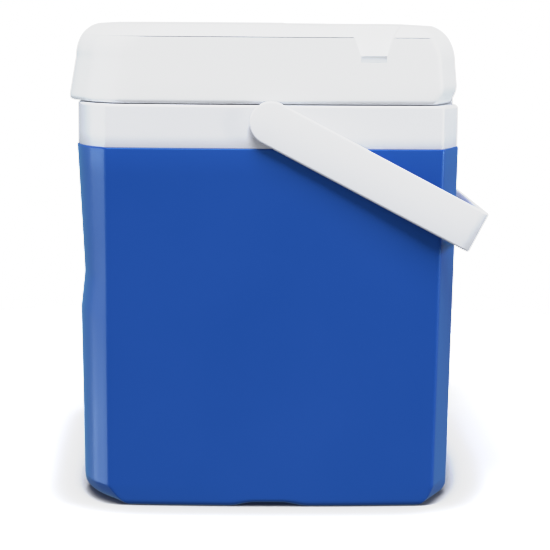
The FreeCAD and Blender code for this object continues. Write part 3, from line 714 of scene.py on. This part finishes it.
def lid_corners(z, distance=0.0, back_inset=0.0):
    """Lid's outline at a height, moved in by a distance, and its back by a further one."""
    below = max(0.0, LID_BOTTOM + LID_EDGE[1] - z) / LID_EDGE[1]
    edge = LID_EDGE[0] * (1.0 - math.sqrt(max(0.0, 1.0 - min(1.0, below) ** 2)))
    reach = min(LID_SOFTNESS, LID_TOP - z) if z < LID_TOP else 0.0
    front_y = lid_front(z) + edge
    back_y = (softened(lid_back, z, reach) if z < LID_BACK_ROUND[0] else lid_back(z)) - back_inset
    crease_x = softened(lid_end, z, reach) - edge - END_BOW - lid_ledge(z)
    radii = LID_CORNER_RADII
    turn_x = crease_x - LID_CORNER_TURN_X
    back_crease_y = back_y - LID_BACK_CORNER_Y
    right = [
        (crease_x - LID_CORNER[0], front_y, radii[0], 0.0, 6, 4),
        (turn_x, front_y + LID_CORNER[1] / 2.0, radii[1], 0.0, 6, 2),
        (crease_x, front_y + LID_CORNER[1], radii[2], END_BOW, 8, END_STEPS),
        (crease_x, back_crease_y, LID_CREASE_RADIUS, 0.0, CREASE_STEPS, FACET_STEPS),
        (crease_x - FACET_X, back_y, FACET_RADIUS, 0.0, FACET_ARC_STEPS, WALL_STEPS),
    ]
    return inset(mirrored(right, WALL_STEPS), distance)


def well_cutter():
    """Tapered cup well with a rounded floor and a rounded rim."""
    floor_radius, top_radius = WELL_RADII
    rim_z = LID_TOP - TRAY_DEPTH
    profile = [(0.5, WELL_FLOOR_Z)]
    for across, up in quarter(6):
        radius = floor_radius - WELL_FLOOR_ROUND * across
        profile.append((radius, WELL_FLOOR_Z + WELL_FLOOR_ROUND * up))
    for k in range(7):
        angle = math.radians(80.0) * k / 6.0
        radius = top_radius + WELL_RIM_ROUND * (1.0 - math.cos(angle))
        rise = WELL_RIM_ROUND * math.sin(angle) * 1.01
        profile.append((radius, rim_z - WELL_RIM_ROUND + rise))
    profile.append((profile[-1][0] + 0.3, LID_TOP + 8.0))
    return lathe("well", profile, (WELL_X, WELL_Y), WELL_STEPS)


def notch_half_width(z):
    """Half the notch's width at a height, wider upwards and flared at the top."""
    foot, high, high_z = NOTCH_HALF
    if z <= RAMP_FOOT[1]:
        return foot
    flare_z, flare, rise = NOTCH_FLARE
    share = max(0.0, z - flare_z) / rise
    extra = flare * (share * share if share < 1.0 else 2.0 * share - 1.0)
    return foot + (high - foot) * (z - RAMP_FOOT[1]) / (high_z - RAMP_FOOT[1]) + extra


def notch_cutters(grow):
    """Ramp part and foot part of the drain notch, grown by a wall thickness."""
    slope = (LID_TOP - RAMP_FOOT[1]) / (RAMP_FOOT[0] - RAMP_TOP_X)
    far_x = LID_END_X + PAST_WALL
    start_x = RAMP_TOP_X - RAMP_WALL_RUN * grow
    foot_x = RAMP_FOOT[0] - grow
    foot_z = LID_TOP - slope * (foot_x - start_x)
    rings = []
    for z in [foot_z] + spread(foot_z, LID_TOP, RAMP_STEPS) + [LID_TOP, LID_TOP + 3.0]:
        near_x = start_x + max(0.0, LID_TOP - z) / slope
        half = notch_half_width(z) + grow
        low_y = WELL_Y - half
        high_y = WELL_Y + half
        corners = [(near_x, low_y), (far_x, low_y), (far_x, high_y), (near_x, high_y)]
        rings.append([Vector((x, y, z)) for x, y in corners])
    half = notch_half_width(RAMP_FOOT[1]) + grow
    floor_z = NOTCH_FLOOR_Z - grow
    side = [(foot_x, foot_z + 0.05), (foot_x - NOTCH_UNDERCUT, floor_z), (far_x, floor_z)]
    side.append((far_x, foot_z + 0.05))
    foot = prism("notch", [(x, WELL_Y - half, z) for x, z in side], (0.0, 2.0 * half, 0.0))
    return [skin("notch", rings), foot]


def leaf_pocket(x, z_low, z_high):
    """Room for a hinge leaf in a back wall."""
    half = LEAF_WIDTH / 2.0 + LEAF_CLEARANCE
    outer_y = HINGE_Y + BARREL_RADIUS
    low = (x - half, outer_y - LEAF_THICKNESS - LEAF_CLEARANCE, z_low)
    return block("pocket", low, (x + half, outer_y + 6.0, z_high))


def barrel_room(x):
    """Room for a hinge's barrel to turn in."""
    half = LEAF_WIDTH / 2.0 + BARREL_GAP
    return rod_x("room", BARREL_RADIUS + BARREL_GAP, x - half, x + half, HINGE_Y, HINGE_Z)


def lean_back(piece):
    """Turns a cutter about the hinge line, as the lid's leaves are."""
    line = Vector((0.0, HINGE_Y, HINGE_Z)) * MM
    turn = Matrix.Rotation(math.radians(LEAF_LEAN), 4, "X")
    piece.data.transform(Matrix.Translation(line) @ turn @ Matrix.Translation(-line))
    return piece


def void_corners(z, distance):
    """Plan of the lid's inside, whose wall grows thicker low down behind the hinges."""
    below = max(0.0, LID_BOTTOM + LID_CHAMFER[1] - z - distance) / LID_CHAMFER[1]
    return lid_corners(z + distance, distance, LID_BACK_THICKENING * below)


def void_rings(distance, floor_z):
    """Rings of the lid's inside, from a floor height up."""
    heights = [LID_BOTTOM + LID_EDGE[1], *VOID_LOW_LEVELS, LID_BOTTOM + LID_CHAMFER[1]]
    heights += [VOID_MIDDLE_LEVEL, LID_BACK_ROUND[0], *VOID_HIGH_LEVELS]
    heights = [floor_z] + [z - distance for z in heights if z - distance > floor_z + 0.5]
    return [ring(void_corners(z, distance), z) for z in heights]


def lid_heights():
    """Heights of the rings of the lid's outside."""
    chamfer_top = LID_BOTTOM + LID_CHAMFER[1]
    heights = [LID_BOTTOM + LID_EDGE[1] * up for _, up in quarter(LID_EDGE_STEPS)]
    heights += spread(LID_BOTTOM + LID_EDGE[1], chamfer_top, 5)
    heights += [chamfer_top, *LID_WALL_LEVELS]
    heights += [LID_LEDGE[1] + offset for offset in LID_LEDGE_OFFSETS]
    return heights + [LID_TOP - drop for drop in LID_TOP_DROPS]


def lid_cavity():
    """Lid's inside, less the solid round the wells, the notches and the hinge screws."""
    cavity = skin("cavity", void_rings(LID_WALL, LID_BOTTOM - 1.0))
    low_radius, high_radius = WELL_KEEP_RADII
    profile = [(low_radius, WELL_FLOOR_Z - LID_WALL), (high_radius, LID_TOP + 7.0)]
    keep = pair(lathe("keep", profile, (WELL_X, WELL_Y), LATHE_STEPS))
    for part in notch_cutters(LID_WALL):
        keep += pair(part)
    half = LEAF_WIDTH / 2.0
    depth, gap, top_z = HINGE_BOSS
    for sign in (-1.0, 1.0):
        low = (sign * HINGE_X - half, HINGE_Y - depth, PANEL_Z[1] + gap)
        keep.append(block("keep", low, (sign * HINGE_X + half, HINGE_Y + PAST_WALL, top_z)))
    return carve(cavity, keep)


def make_lid():
    """Lid's outer shell, with its wells, notches, lowered rear and hinge pockets."""
    lid = skin("lid", [ring(lid_corners(z), z) for z in lid_heights()])
    cutters = [lid_cavity()] + pair(well_cutter())
    for part in notch_cutters(0.0):
        cutters += pair(part)
    cutters.append(tray_cutter())
    for sign in (-1.0, 1.0):
        pocket = leaf_pocket(sign * HINGE_X, HINGE_Z, LID_LEAF_TOP_Z + LEAF_CLEARANCE)
        cutters.append(lean_back(pocket))
        cutters.append(barrel_room(sign * HINGE_X))
    carve(lid, cutters)
    soften_edges(lid, in_notch, NOTCH_EDGE_RADIUS, ROUNDED_ANGLE)
    return lid


def in_notch(point):
    """Whether a point in mm lies in the region of a notch, at either end."""
    half = NOTCH_HALF[1] + 14.0
    across = abs(point.y - WELL_Y) < half
    return across and abs(point.x) > RAMP_TOP_X - 1.0 and point.z > NOTCH_FLOOR_Z - 1.0


def tray_cutter():
    """Lowers the lid's top behind a soft step."""
    low_z = LID_TOP - TRAY_DEPTH
    far_y = LID_BACK_Y + PAST_WALL
    high_z = LID_TOP + 5.0
    foot_y, head_y = [TRAY_START_Y + offset for offset in TRAY_STEP]
    side = [(foot_y, low_z), (far_y, low_z), (far_y, high_z), (head_y, high_z)]
    polygon = [(-TRAY_REACH_X, y, z) for y, z in side]
    return prism("tray", polygon, (2.0 * TRAY_REACH_X, 0.0, 0.0))


def make_lid_panel():
    """Lid's lower cover: a flange inside the lid's wall and a shallow plug that fills the mouth."""
    flange_low, flange_high = PANEL_Z
    edge = void_corners(LID_BOTTOM, LID_WALL + PANEL_EDGE_GAP)
    rings = [ring(edge, flange_high), ring(edge, flange_low)]
    plug_low = flange_low - PLUG_DEPTH
    for across, up in reversed(list(quarter(4))):
        distance = PLUG_GAP - PLUG_FILLET * across
        rings.append(plug_ring(distance, flange_low - PLUG_FILLET * up))
    for across, up in reversed(list(quarter(6))):
        distance = PLUG_GAP + PLUG_ROUND * across
        rings.append(plug_ring(distance, plug_low + PLUG_ROUND * up))
    rim, flank, depth = PLUG_DISH
    dish_edge = PLUG_GAP + PLUG_ROUND + rim
    rings.append(plug_ring(dish_edge, plug_low))
    rings.append(plug_ring(dish_edge + flank, plug_low + depth))
    rings.append(plug_ring(dish_edge + 2.0 * flank, plug_low + depth))
    panel = skin("lid_lower_cover", rings)
    bore = [(PLUG_RADIUS, plug_low - 5.0), (PLUG_RADIUS, LID_TOP)]
    return carve(panel, [lathe("hole", bore, (0.0, 0.0), LATHE_STEPS)])


def plug_ring(distance, z):
    """Ring that follows the liner's mouth at a distance, with as many points as the lid's."""
    return ring(liner_corners(COLLAR_TOP, distance, LID_FRONT_ARC), z)


def bail_stations():
    """Half of the bail from its pivot to the grip's middle, as (outer, inner, half width)."""
    inner_x = STRAP_OUTER_X - STRAP_THICKNESS
    outer_centre = (STRAP_OUTER_X - BEND_RADII[0], GRIP_OUTER - BEND_RADII[0])
    inner_centre = (inner_x - BEND_RADII[1], GRIP_INNER - BEND_RADII[1])
    path = []
    for share in [0.0] + spread(0.0, 1.0, 12):
        outer = (STRAP_OUTER_X, outer_centre[1] * share)
        path.append((outer, (inner_x, inner_centre[1] * share)))
    for k in range(BEND_STEPS + 1):
        angle = math.pi / 2.0 * k / BEND_STEPS
        turned = Vector((math.cos(angle), math.sin(angle)))
        outer = Vector(outer_centre) + turned * BEND_RADII[0]
        path.append((outer, Vector(inner_centre) + turned * BEND_RADII[1]))
    for share in spread(0.0, 1.0, 14) + [1.0]:
        outer = (outer_centre[0] * (1.0 - share), GRIP_OUTER)
        path.append((outer, (inner_centre[0] * (1.0 - share), GRIP_INNER)))
    stations = []
    for outer, inner in path:
        half = mix(STRAP_HALF_WIDTH, GRIP_HALF_WIDTH, outer[1] / GRIP_OUTER)
        stations.append((Vector(outer), Vector(inner), half))
    return stations


def bail_ring(drawn_in, depth, from_inside):
    """Loop round the strap, drawn in from its rim and set below one of its two faces."""
    near = []
    radius = STRAP_HALF_WIDTH - drawn_in
    for k in range(BEND_STEPS + 1):
        angle = math.pi / 2.0 * (1.0 - k / (BEND_STEPS + 1))
        y = -radius * math.sin(angle)
        outer = Vector((STRAP_OUTER_X, y))
        inner = Vector((STRAP_OUTER_X - STRAP_THICKNESS, y))
        near.append((outer, inner, radius * math.cos(angle) + drawn_in))
    near += bail_stations()
    side = []
    for outer, inner, half in near:
        across = (inner - outer).normalized()
        point = inner - across * depth if from_inside else outer + across * depth
        side.append((point.x, point.y, half - drawn_in))
    whole = side + [(-x, y, half) for x, y, half in reversed(side[:-1])]
    top = [Vector((x, y, half)) for x, y, half in whole]
    bottom = [Vector((x, y, -half)) for x, y, half in reversed(whole[1:-1])]
    return top + bottom


def make_handle():
    """U of flat strap with round ends and rounded rims, and the studs that it turns on."""
    rims = []
    for from_inside in (False, True):
        rounds = []
        for k in range(5):
            angle = math.pi / 2.0 * k / 4.0
            drawn_in = HANDLE_EDGE_RADIUS * (1.0 - math.sin(angle))
            depth = HANDLE_EDGE_RADIUS * (1.0 - math.cos(angle))
            rounds.append(bail_ring(drawn_in, depth, from_inside))
        rims += reversed(rounds) if from_inside else rounds
    strap = skin("handle", rims, ladder=True)
    inner_x = STRAP_OUTER_X - STRAP_THICKNESS
    studs = pair(rod_x("stud", STUD_RADIUS, STUD_END_X, inner_x + 2.0, 0.0, 0.0, LATHE_STEPS))
    combine(strap, studs, "UNION")
    turn = Matrix.Rotation(math.radians(REST_ANGLE), 4, "X")
    strap.data.transform(Matrix.Translation(Vector((0.0, 0.0, PIVOT_Z)) * MM) @ turn)
    return strap


# ======== materials ========

# The blue plastic's sheen and reflections lean towards cyan.
SHEEN_TINT = (0.15, 0.75, 1.0, 1.0)
SPECULAR_TINT = (0.35, 1.0, 1.0, 1.0)
SCATTER_RADIUS = (0.004, 0.004, 0.004)
# Noise scales of moulded plastic: clouds of tone, orange peel, fine grain.
CLOUD_SCALE = 9.0
PEEL_SCALE = 260.0
GRAIN_SCALE = 1400.0
SCRATCH_SCALE = 2500.0
SCRATCH_STRETCH = (0.05, 1.0, 1.0)
CELL_SCALE = 700.0


def new_material(name):
    """Material with a Principled shader wired to its output."""
    material = bpy.data.materials.new(name)
    material.use_nodes = True
    nodes = material.node_tree.nodes
    nodes.clear()
    output = nodes.new("ShaderNodeOutputMaterial")
    shader = nodes.new("ShaderNodeBsdfPrincipled")
    material.node_tree.links.new(shader.outputs["BSDF"], output.inputs["Surface"])
    return material, shader


def add_node(material, kind, settings):
    """Shader node with some of its inputs set."""
    node = material.node_tree.nodes.new(kind)
    for name, value in settings.items():
        node.inputs[name].default_value = value
    return node


def object_coordinates(material):
    return material.node_tree.nodes.new("ShaderNodeTexCoord").outputs["Object"]


def noise(material, scale, detail, coordinates):
    node = add_node(material, "ShaderNodeTexNoise", {"Scale": scale, "Detail": detail})
    material.node_tree.links.new(coordinates, node.inputs["Vector"])
    return node.outputs["Fac"]


def remap(material, value, low, high):
    """Value from about 0.3 to 0.7 spread over a range."""
    span = {"From Min": 0.3, "From Max": 0.7, "To Min": low, "To Max": high}
    node = add_node(material, "ShaderNodeMapRange", span)
    material.node_tree.links.new(value, node.inputs["Value"])
    return node.outputs["Result"]


def mixed_colour(material, value, low, high):
    node = add_node(material, "ShaderNodeMix", {6: (*low, 1.0), 7: (*high, 1.0)})
    node.data_type = "RGBA"
    material.node_tree.links.new(value, node.inputs[0])
    return node.outputs[2]


def bump(material, value, strength, distance, base=None):
    node = add_node(material, "ShaderNodeBump", {"Strength": strength, "Distance": distance})
    material.node_tree.links.new(value, node.inputs["Height"])
    if base is not None:
        material.node_tree.links.new(base, node.inputs["Normal"])
    return node.outputs["Normal"]


def moulded_plastic(
    name, colour, shade, roughness, grain, specular=0.35, translucency=0.0, sheen=0.0
):
    """Moulded polyethylene: fine grain, faint waviness, and slight changes of tone and gloss."""
    material, shader = new_material(name)
    links = material.node_tree.links
    coordinates = object_coordinates(material)
    cloudy = noise(material, CLOUD_SCALE, 3.0, coordinates)
    fine = noise(material, GRAIN_SCALE, 2.0, coordinates)
    peel = noise(material, PEEL_SCALE, 2.0, coordinates)
    tone = mixed_colour(material, remap(material, cloudy, 0.0, 1.0), colour, shade)
    links.new(tone, shader.inputs["Base Color"])
    links.new(
        remap(material, cloudy, roughness - 0.03, roughness + 0.04), shader.inputs["Roughness"]
    )
    wavy = bump(material, peel, 0.05 * grain, 0.0004)
    links.new(bump(material, fine, 0.10 * grain, 0.0002, wavy), shader.inputs["Normal"])
    shader.inputs["Specular IOR Level"].default_value = specular
    if sheen > 0.0:
        shader.inputs["Sheen Weight"].default_value = sheen
        shader.inputs["Sheen Roughness"].default_value = 0.35
        shader.inputs["Sheen Tint"].default_value = SHEEN_TINT
        shader.inputs["Specular Tint"].default_value = SPECULAR_TINT
    if translucency > 0.0:
        shader.inputs["Subsurface Weight"].default_value = translucency
        shader.inputs["Subsurface Radius"].default_value = SCATTER_RADIUS
    return material


def steel(name):
    """Brushed stainless steel, with scratches along X."""
    material, shader = new_material(name)
    links = material.node_tree.links
    coordinates = object_coordinates(material)
    stretch = add_node(material, "ShaderNodeMapping", {"Scale": SCRATCH_STRETCH})
    links.new(coordinates, stretch.inputs["Vector"])
    scratches = noise(material, SCRATCH_SCALE, 3.0, stretch.outputs["Vector"])
    tone = mixed_colour(material, scratches, (0.55, 0.55, 0.56), (0.68, 0.68, 0.69))
    links.new(tone, shader.inputs["Base Color"])
    links.new(remap(material, scratches, 0.24, 0.36), shader.inputs["Roughness"])
    links.new(bump(material, scratches, 0.08, 0.0001), shader.inputs["Normal"])
    shader.inputs["Metallic"].default_value = 1.0
    return material


def foam(name):
    """Rigid cream foam with a rough, cellular face."""
    material, shader = new_material(name)
    links = material.node_tree.links
    coordinates = object_coordinates(material)
    cells = noise(material, CELL_SCALE, 4.0, coordinates)
    tone = mixed_colour(material, cells, (0.72, 0.62, 0.40), (0.84, 0.76, 0.55))
    links.new(tone, shader.inputs["Base Color"])
    links.new(bump(material, cells, 0.5, 0.0008), shader.inputs["Normal"])
    shader.inputs["Roughness"].default_value = 0.9
    return material


def paint(piece, material):
    piece.data.materials.clear()
    piece.data.materials.append(material)


# ======== building ========

blue = moulded_plastic(
    "blue_polyethylene", (0.0135, 0.071, 0.360), (0.0155, 0.075, 0.375), 0.34, 1.0, 0.22, 0.0, 0.25
)
white = moulded_plastic(
    "white_polyethylene", (0.79, 0.81, 0.838), (0.805, 0.825, 0.853), 0.45, 1.0, 0.35, 0.0
)
liner_white = moulded_plastic(
    "liner_polyethylene", (0.74, 0.76, 0.815), (0.755, 0.775, 0.83), 0.38, 0.6, 0.40, 0.08
)
handle_white = moulded_plastic(
    "handle_polypropylene", (0.78, 0.80, 0.85), (0.795, 0.815, 0.865), 0.40, 0.7, 0.38, 0.08
)
grey = moulded_plastic("pivot_acetal", (0.60, 0.61, 0.63), (0.64, 0.65, 0.67), 0.4, 0.5)
metal = steel("stainless_steel")
foam_material = foam("rigid_foam")

tub = make_tub()
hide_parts("outer_shell")
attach(tub, "chest")
paint(tub, blue)

liner = make_liner()
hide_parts("inner_liner")
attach(liner, "chest")
paint(liner, liner_white)

panel = make_lid_panel()
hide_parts("lid_panel")
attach(panel, "lid")
paint(panel, liner_white)

lid = make_lid()
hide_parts("lid_shell")
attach(lid, "lid")
paint(lid, white)

handle = make_handle()
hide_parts("bail_handle")
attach(handle, "handle")
paint(handle, handle_white)

slot_materials = {
    "tub_plastic": blue,
    "white_plastic": white,
    "liner_plastic": liner_white,
    "handle_plastic": handle_white,
    "foam": foam_material,
    "pivot_plastic": grey,
    "hinge_plastic": white,
    "steel": metal,
}
for part in frame["record"]["subparts"]:
    paint(frame["nodes"][part["node"]], slot_materials[part["material_slot"]])

# ======== camera, floor and light ========

CAMERA_PLACE = (1.728, -0.0253, 0.4005)
# (yaw, downward pitch, roll) in degrees from a level look along -X
CAMERA_ANGLES = (1.11, 7.78, 0.45)
CAMERA_LENS = 124.36
SENSOR_WIDTH = 36.0
CLIP_RANGE = (0.05, 60.0)

FLOOR_RADIUS = 0.9
FLOOR_DROP = 0.0002
FLOOR_WHITE = (2.7, 2.7, 2.7)
# Painted contact shadow: the floor's colour darkens near whatever stands on it, over this reach, to
# this power.
PAINTED_SHADOW_REACH = 0.048
PAINTED_SHADOW_DEPTH = 3.2
PAINTED_SHADOW_DARKEST = 0.10

SURROUNDINGS = 0.22
NEUTRAL = (1.0, 1.0, 1.0)
NEARLY_NEUTRAL = (0.95, 1.0, 1.03)
COOL = (0.88, 1.0, 1.08)
# (scene light, shown light) along the shoulder of the view's response
SHOULDER = [(0.33, 0.33), (0.66, 0.66), (0.8, 0.77), (1.0, 0.812)]
SHOULDER += [(1.4, 0.84), (1.9, 0.88), (2.6, 1.0)]


def add_camera():
    """Looks at the +X end from a little to the front, and slightly down."""
    yaw, pitch, roll = [math.radians(angle) for angle in CAMERA_ANGLES]
    level = Vector((-math.cos(yaw), math.sin(yaw), 0.0))
    side = Vector((math.sin(yaw), math.cos(yaw), 0.0))
    up = Vector((0.0, 0.0, 1.0))
    forward = level * math.cos(pitch) - up * math.sin(pitch)
    upright = level * math.sin(pitch) + up * math.cos(pitch)
    right = side * math.cos(roll) + upright * math.sin(roll)
    top = upright * math.cos(roll) - side * math.sin(roll)
    camera_data = bpy.data.cameras.new("camera")
    camera_data.lens = CAMERA_LENS
    camera_data.sensor_width = SENSOR_WIDTH
    camera_data.clip_start, camera_data.clip_end = CLIP_RANGE
    camera = bpy.data.objects.new("camera", camera_data)
    turn = Matrix((right, top, -forward)).transposed().to_4x4()
    camera.matrix_world = Matrix.Translation(CAMERA_PLACE) @ turn
    bpy.context.scene.collection.objects.link(camera)
    bpy.context.scene.camera = camera


def floor_material():
    """Over-white matt floor with a painted contact shadow: its colour darkens where something
    stands close to it.
    """
    material = bpy.data.materials.new("floor_white")
    material.use_nodes = True
    nodes = material.node_tree.nodes
    nodes.clear()
    # Painted shade: ambient occlusion darkens the floor's colour near the chest, standing in for
    # the chest's contact shadow.
    painted_shadow_occlusion = add_node(material, "ShaderNodeAmbientOcclusion", {"Distance": PAINTED_SHADOW_REACH})
    painted_shadow_occlusion.samples = 12
    deepened_painted_shadow = add_node(material, "ShaderNodeMath", {1: PAINTED_SHADOW_DEPTH})
    deepened_painted_shadow.operation = "POWER"
    tone = add_node(material, "ShaderNodeVectorMath", {0: FLOOR_WHITE})
    tone.operation = "SCALE"
    painted_shadow_share = add_node(material, "ShaderNodeMapRange", {"To Min": PAINTED_SHADOW_DARKEST})
    matt = nodes.new("ShaderNodeBsdfDiffuse")
    links = material.node_tree.links
    links.new(painted_shadow_occlusion.outputs["AO"], deepened_painted_shadow.inputs[0])
    links.new(deepened_painted_shadow.outputs["Value"], painted_shadow_share.inputs["Value"])
    links.new(painted_shadow_share.outputs["Result"], tone.inputs["Scale"])
    links.new(tone.outputs["Vector"], matt.inputs["Color"])
    output = nodes.new("ShaderNodeOutputMaterial")
    links.new(matt.outputs["BSDF"], output.inputs["Surface"])
    return material


def add_floor():
    """Round pale table that the camera sees, and that throws no light or shadow of its own."""
    mesh_data = bmesh.new()
    bmesh.ops.create_circle(mesh_data, cap_ends=True, segments=96, radius=FLOOR_RADIUS)
    mesh = bpy.data.meshes.new("floor")
    mesh_data.to_mesh(mesh)
    mesh_data.free()
    floor = bpy.data.objects.new("floor", mesh)
    floor.location = (0.0, 0.0, -FLOOR_DROP)
    floor.visible_diffuse = False
    floor.visible_glossy = False
    floor.visible_shadow = False
    bpy.context.scene.collection.objects.link(floor)
    paint(floor, floor_material())


def add_area(name, place, aim, width, height, power, tint=NEUTRAL):
    """Rectangular soft light that faces a point."""
    light_data = bpy.data.lights.new(name, "AREA")
    light_data.shape = "RECTANGLE"
    light_data.size = width
    light_data.size_y = height
    light_data.energy = power
    light_data.color = tint
    light = bpy.data.objects.new(name, light_data)
    light.location = place
    light.rotation_euler = (Vector(aim) - Vector(place)).to_track_quat("-Z", "Y").to_euler()
    bpy.context.scene.collection.objects.link(light)


def add_world():
    """Even pale surroundings, seen by the camera as plain white."""
    world = bpy.data.worlds.new("studio")
    world.use_nodes = True
    nodes = world.node_tree.nodes
    seen = nodes.new("ShaderNodeLightPath")
    strength = nodes.new("ShaderNodeMapRange")
    strength.inputs["To Min"].default_value = SURROUNDINGS
    strength.inputs["To Max"].default_value = SHOULDER[-1][0]
    world.node_tree.links.new(seen.outputs["Is Camera Ray"], strength.inputs["Value"])
    background = nodes["Background"]
    background.inputs["Color"].default_value = (1.0, 1.0, 1.0, 1.0)
    world.node_tree.links.new(strength.outputs["Result"], background.inputs["Strength"])
    bpy.context.scene.world = world


def add_film_response():
    """Plain view with a soft shoulder, so that white plastic keeps its shading."""
    view = bpy.context.scene.view_settings
    view.view_transform = "Standard"
    view.use_curve_mapping = True
    response = view.curve_mapping
    brightest = SHOULDER[-1][0]
    response.white_level = (brightest, brightest, brightest)
    combined = response.curves[3]
    for light, shown in SHOULDER[:-1]:
        combined.points.new(light / brightest, shown)
    response.update()


add_camera()
add_floor()
add_world()
add_area("key_softbox", (2.35, -0.35, 4.65), (0.2, 0.0, 0.25), 2.6, 2.6, 352.0)
add_area("front_softbox", (3.0, 0.5, 1.0), (0.2, 0.0, 0.2), 1.6, 1.2, 6.0)
add_area("left_softbox", (-0.7, -2.9, 0.35), (0.0, 0.0, 0.2), 0.9, 0.7, 16.5, COOL)
add_area("right_softbox", (0.2, 2.9, 0.5), (0.0, 0.0, 0.2), 0.9, 0.9, 42.0, NEARLY_NEUTRAL)
add_area("left_strip", (1.2, -2.6, 0.35), (0.2, 0.0, 0.2), 0.3, 0.9, 12.0)
add_area("right_strip", (1.2, 2.6, 0.35), (0.2, 0.0, 0.2), 0.3, 0.9, 14.0)
add_area("left_bounce", (-0.75, -2.4, -0.6), (0.2, -0.15, 0.05), 1.0, 0.5, 11.0, COOL)
add_area("front_bounce", (1.1, 0.0, -0.6), (0.2, 0.0, 0.0), 1.0, 0.6, 1.0)
add_film_response()
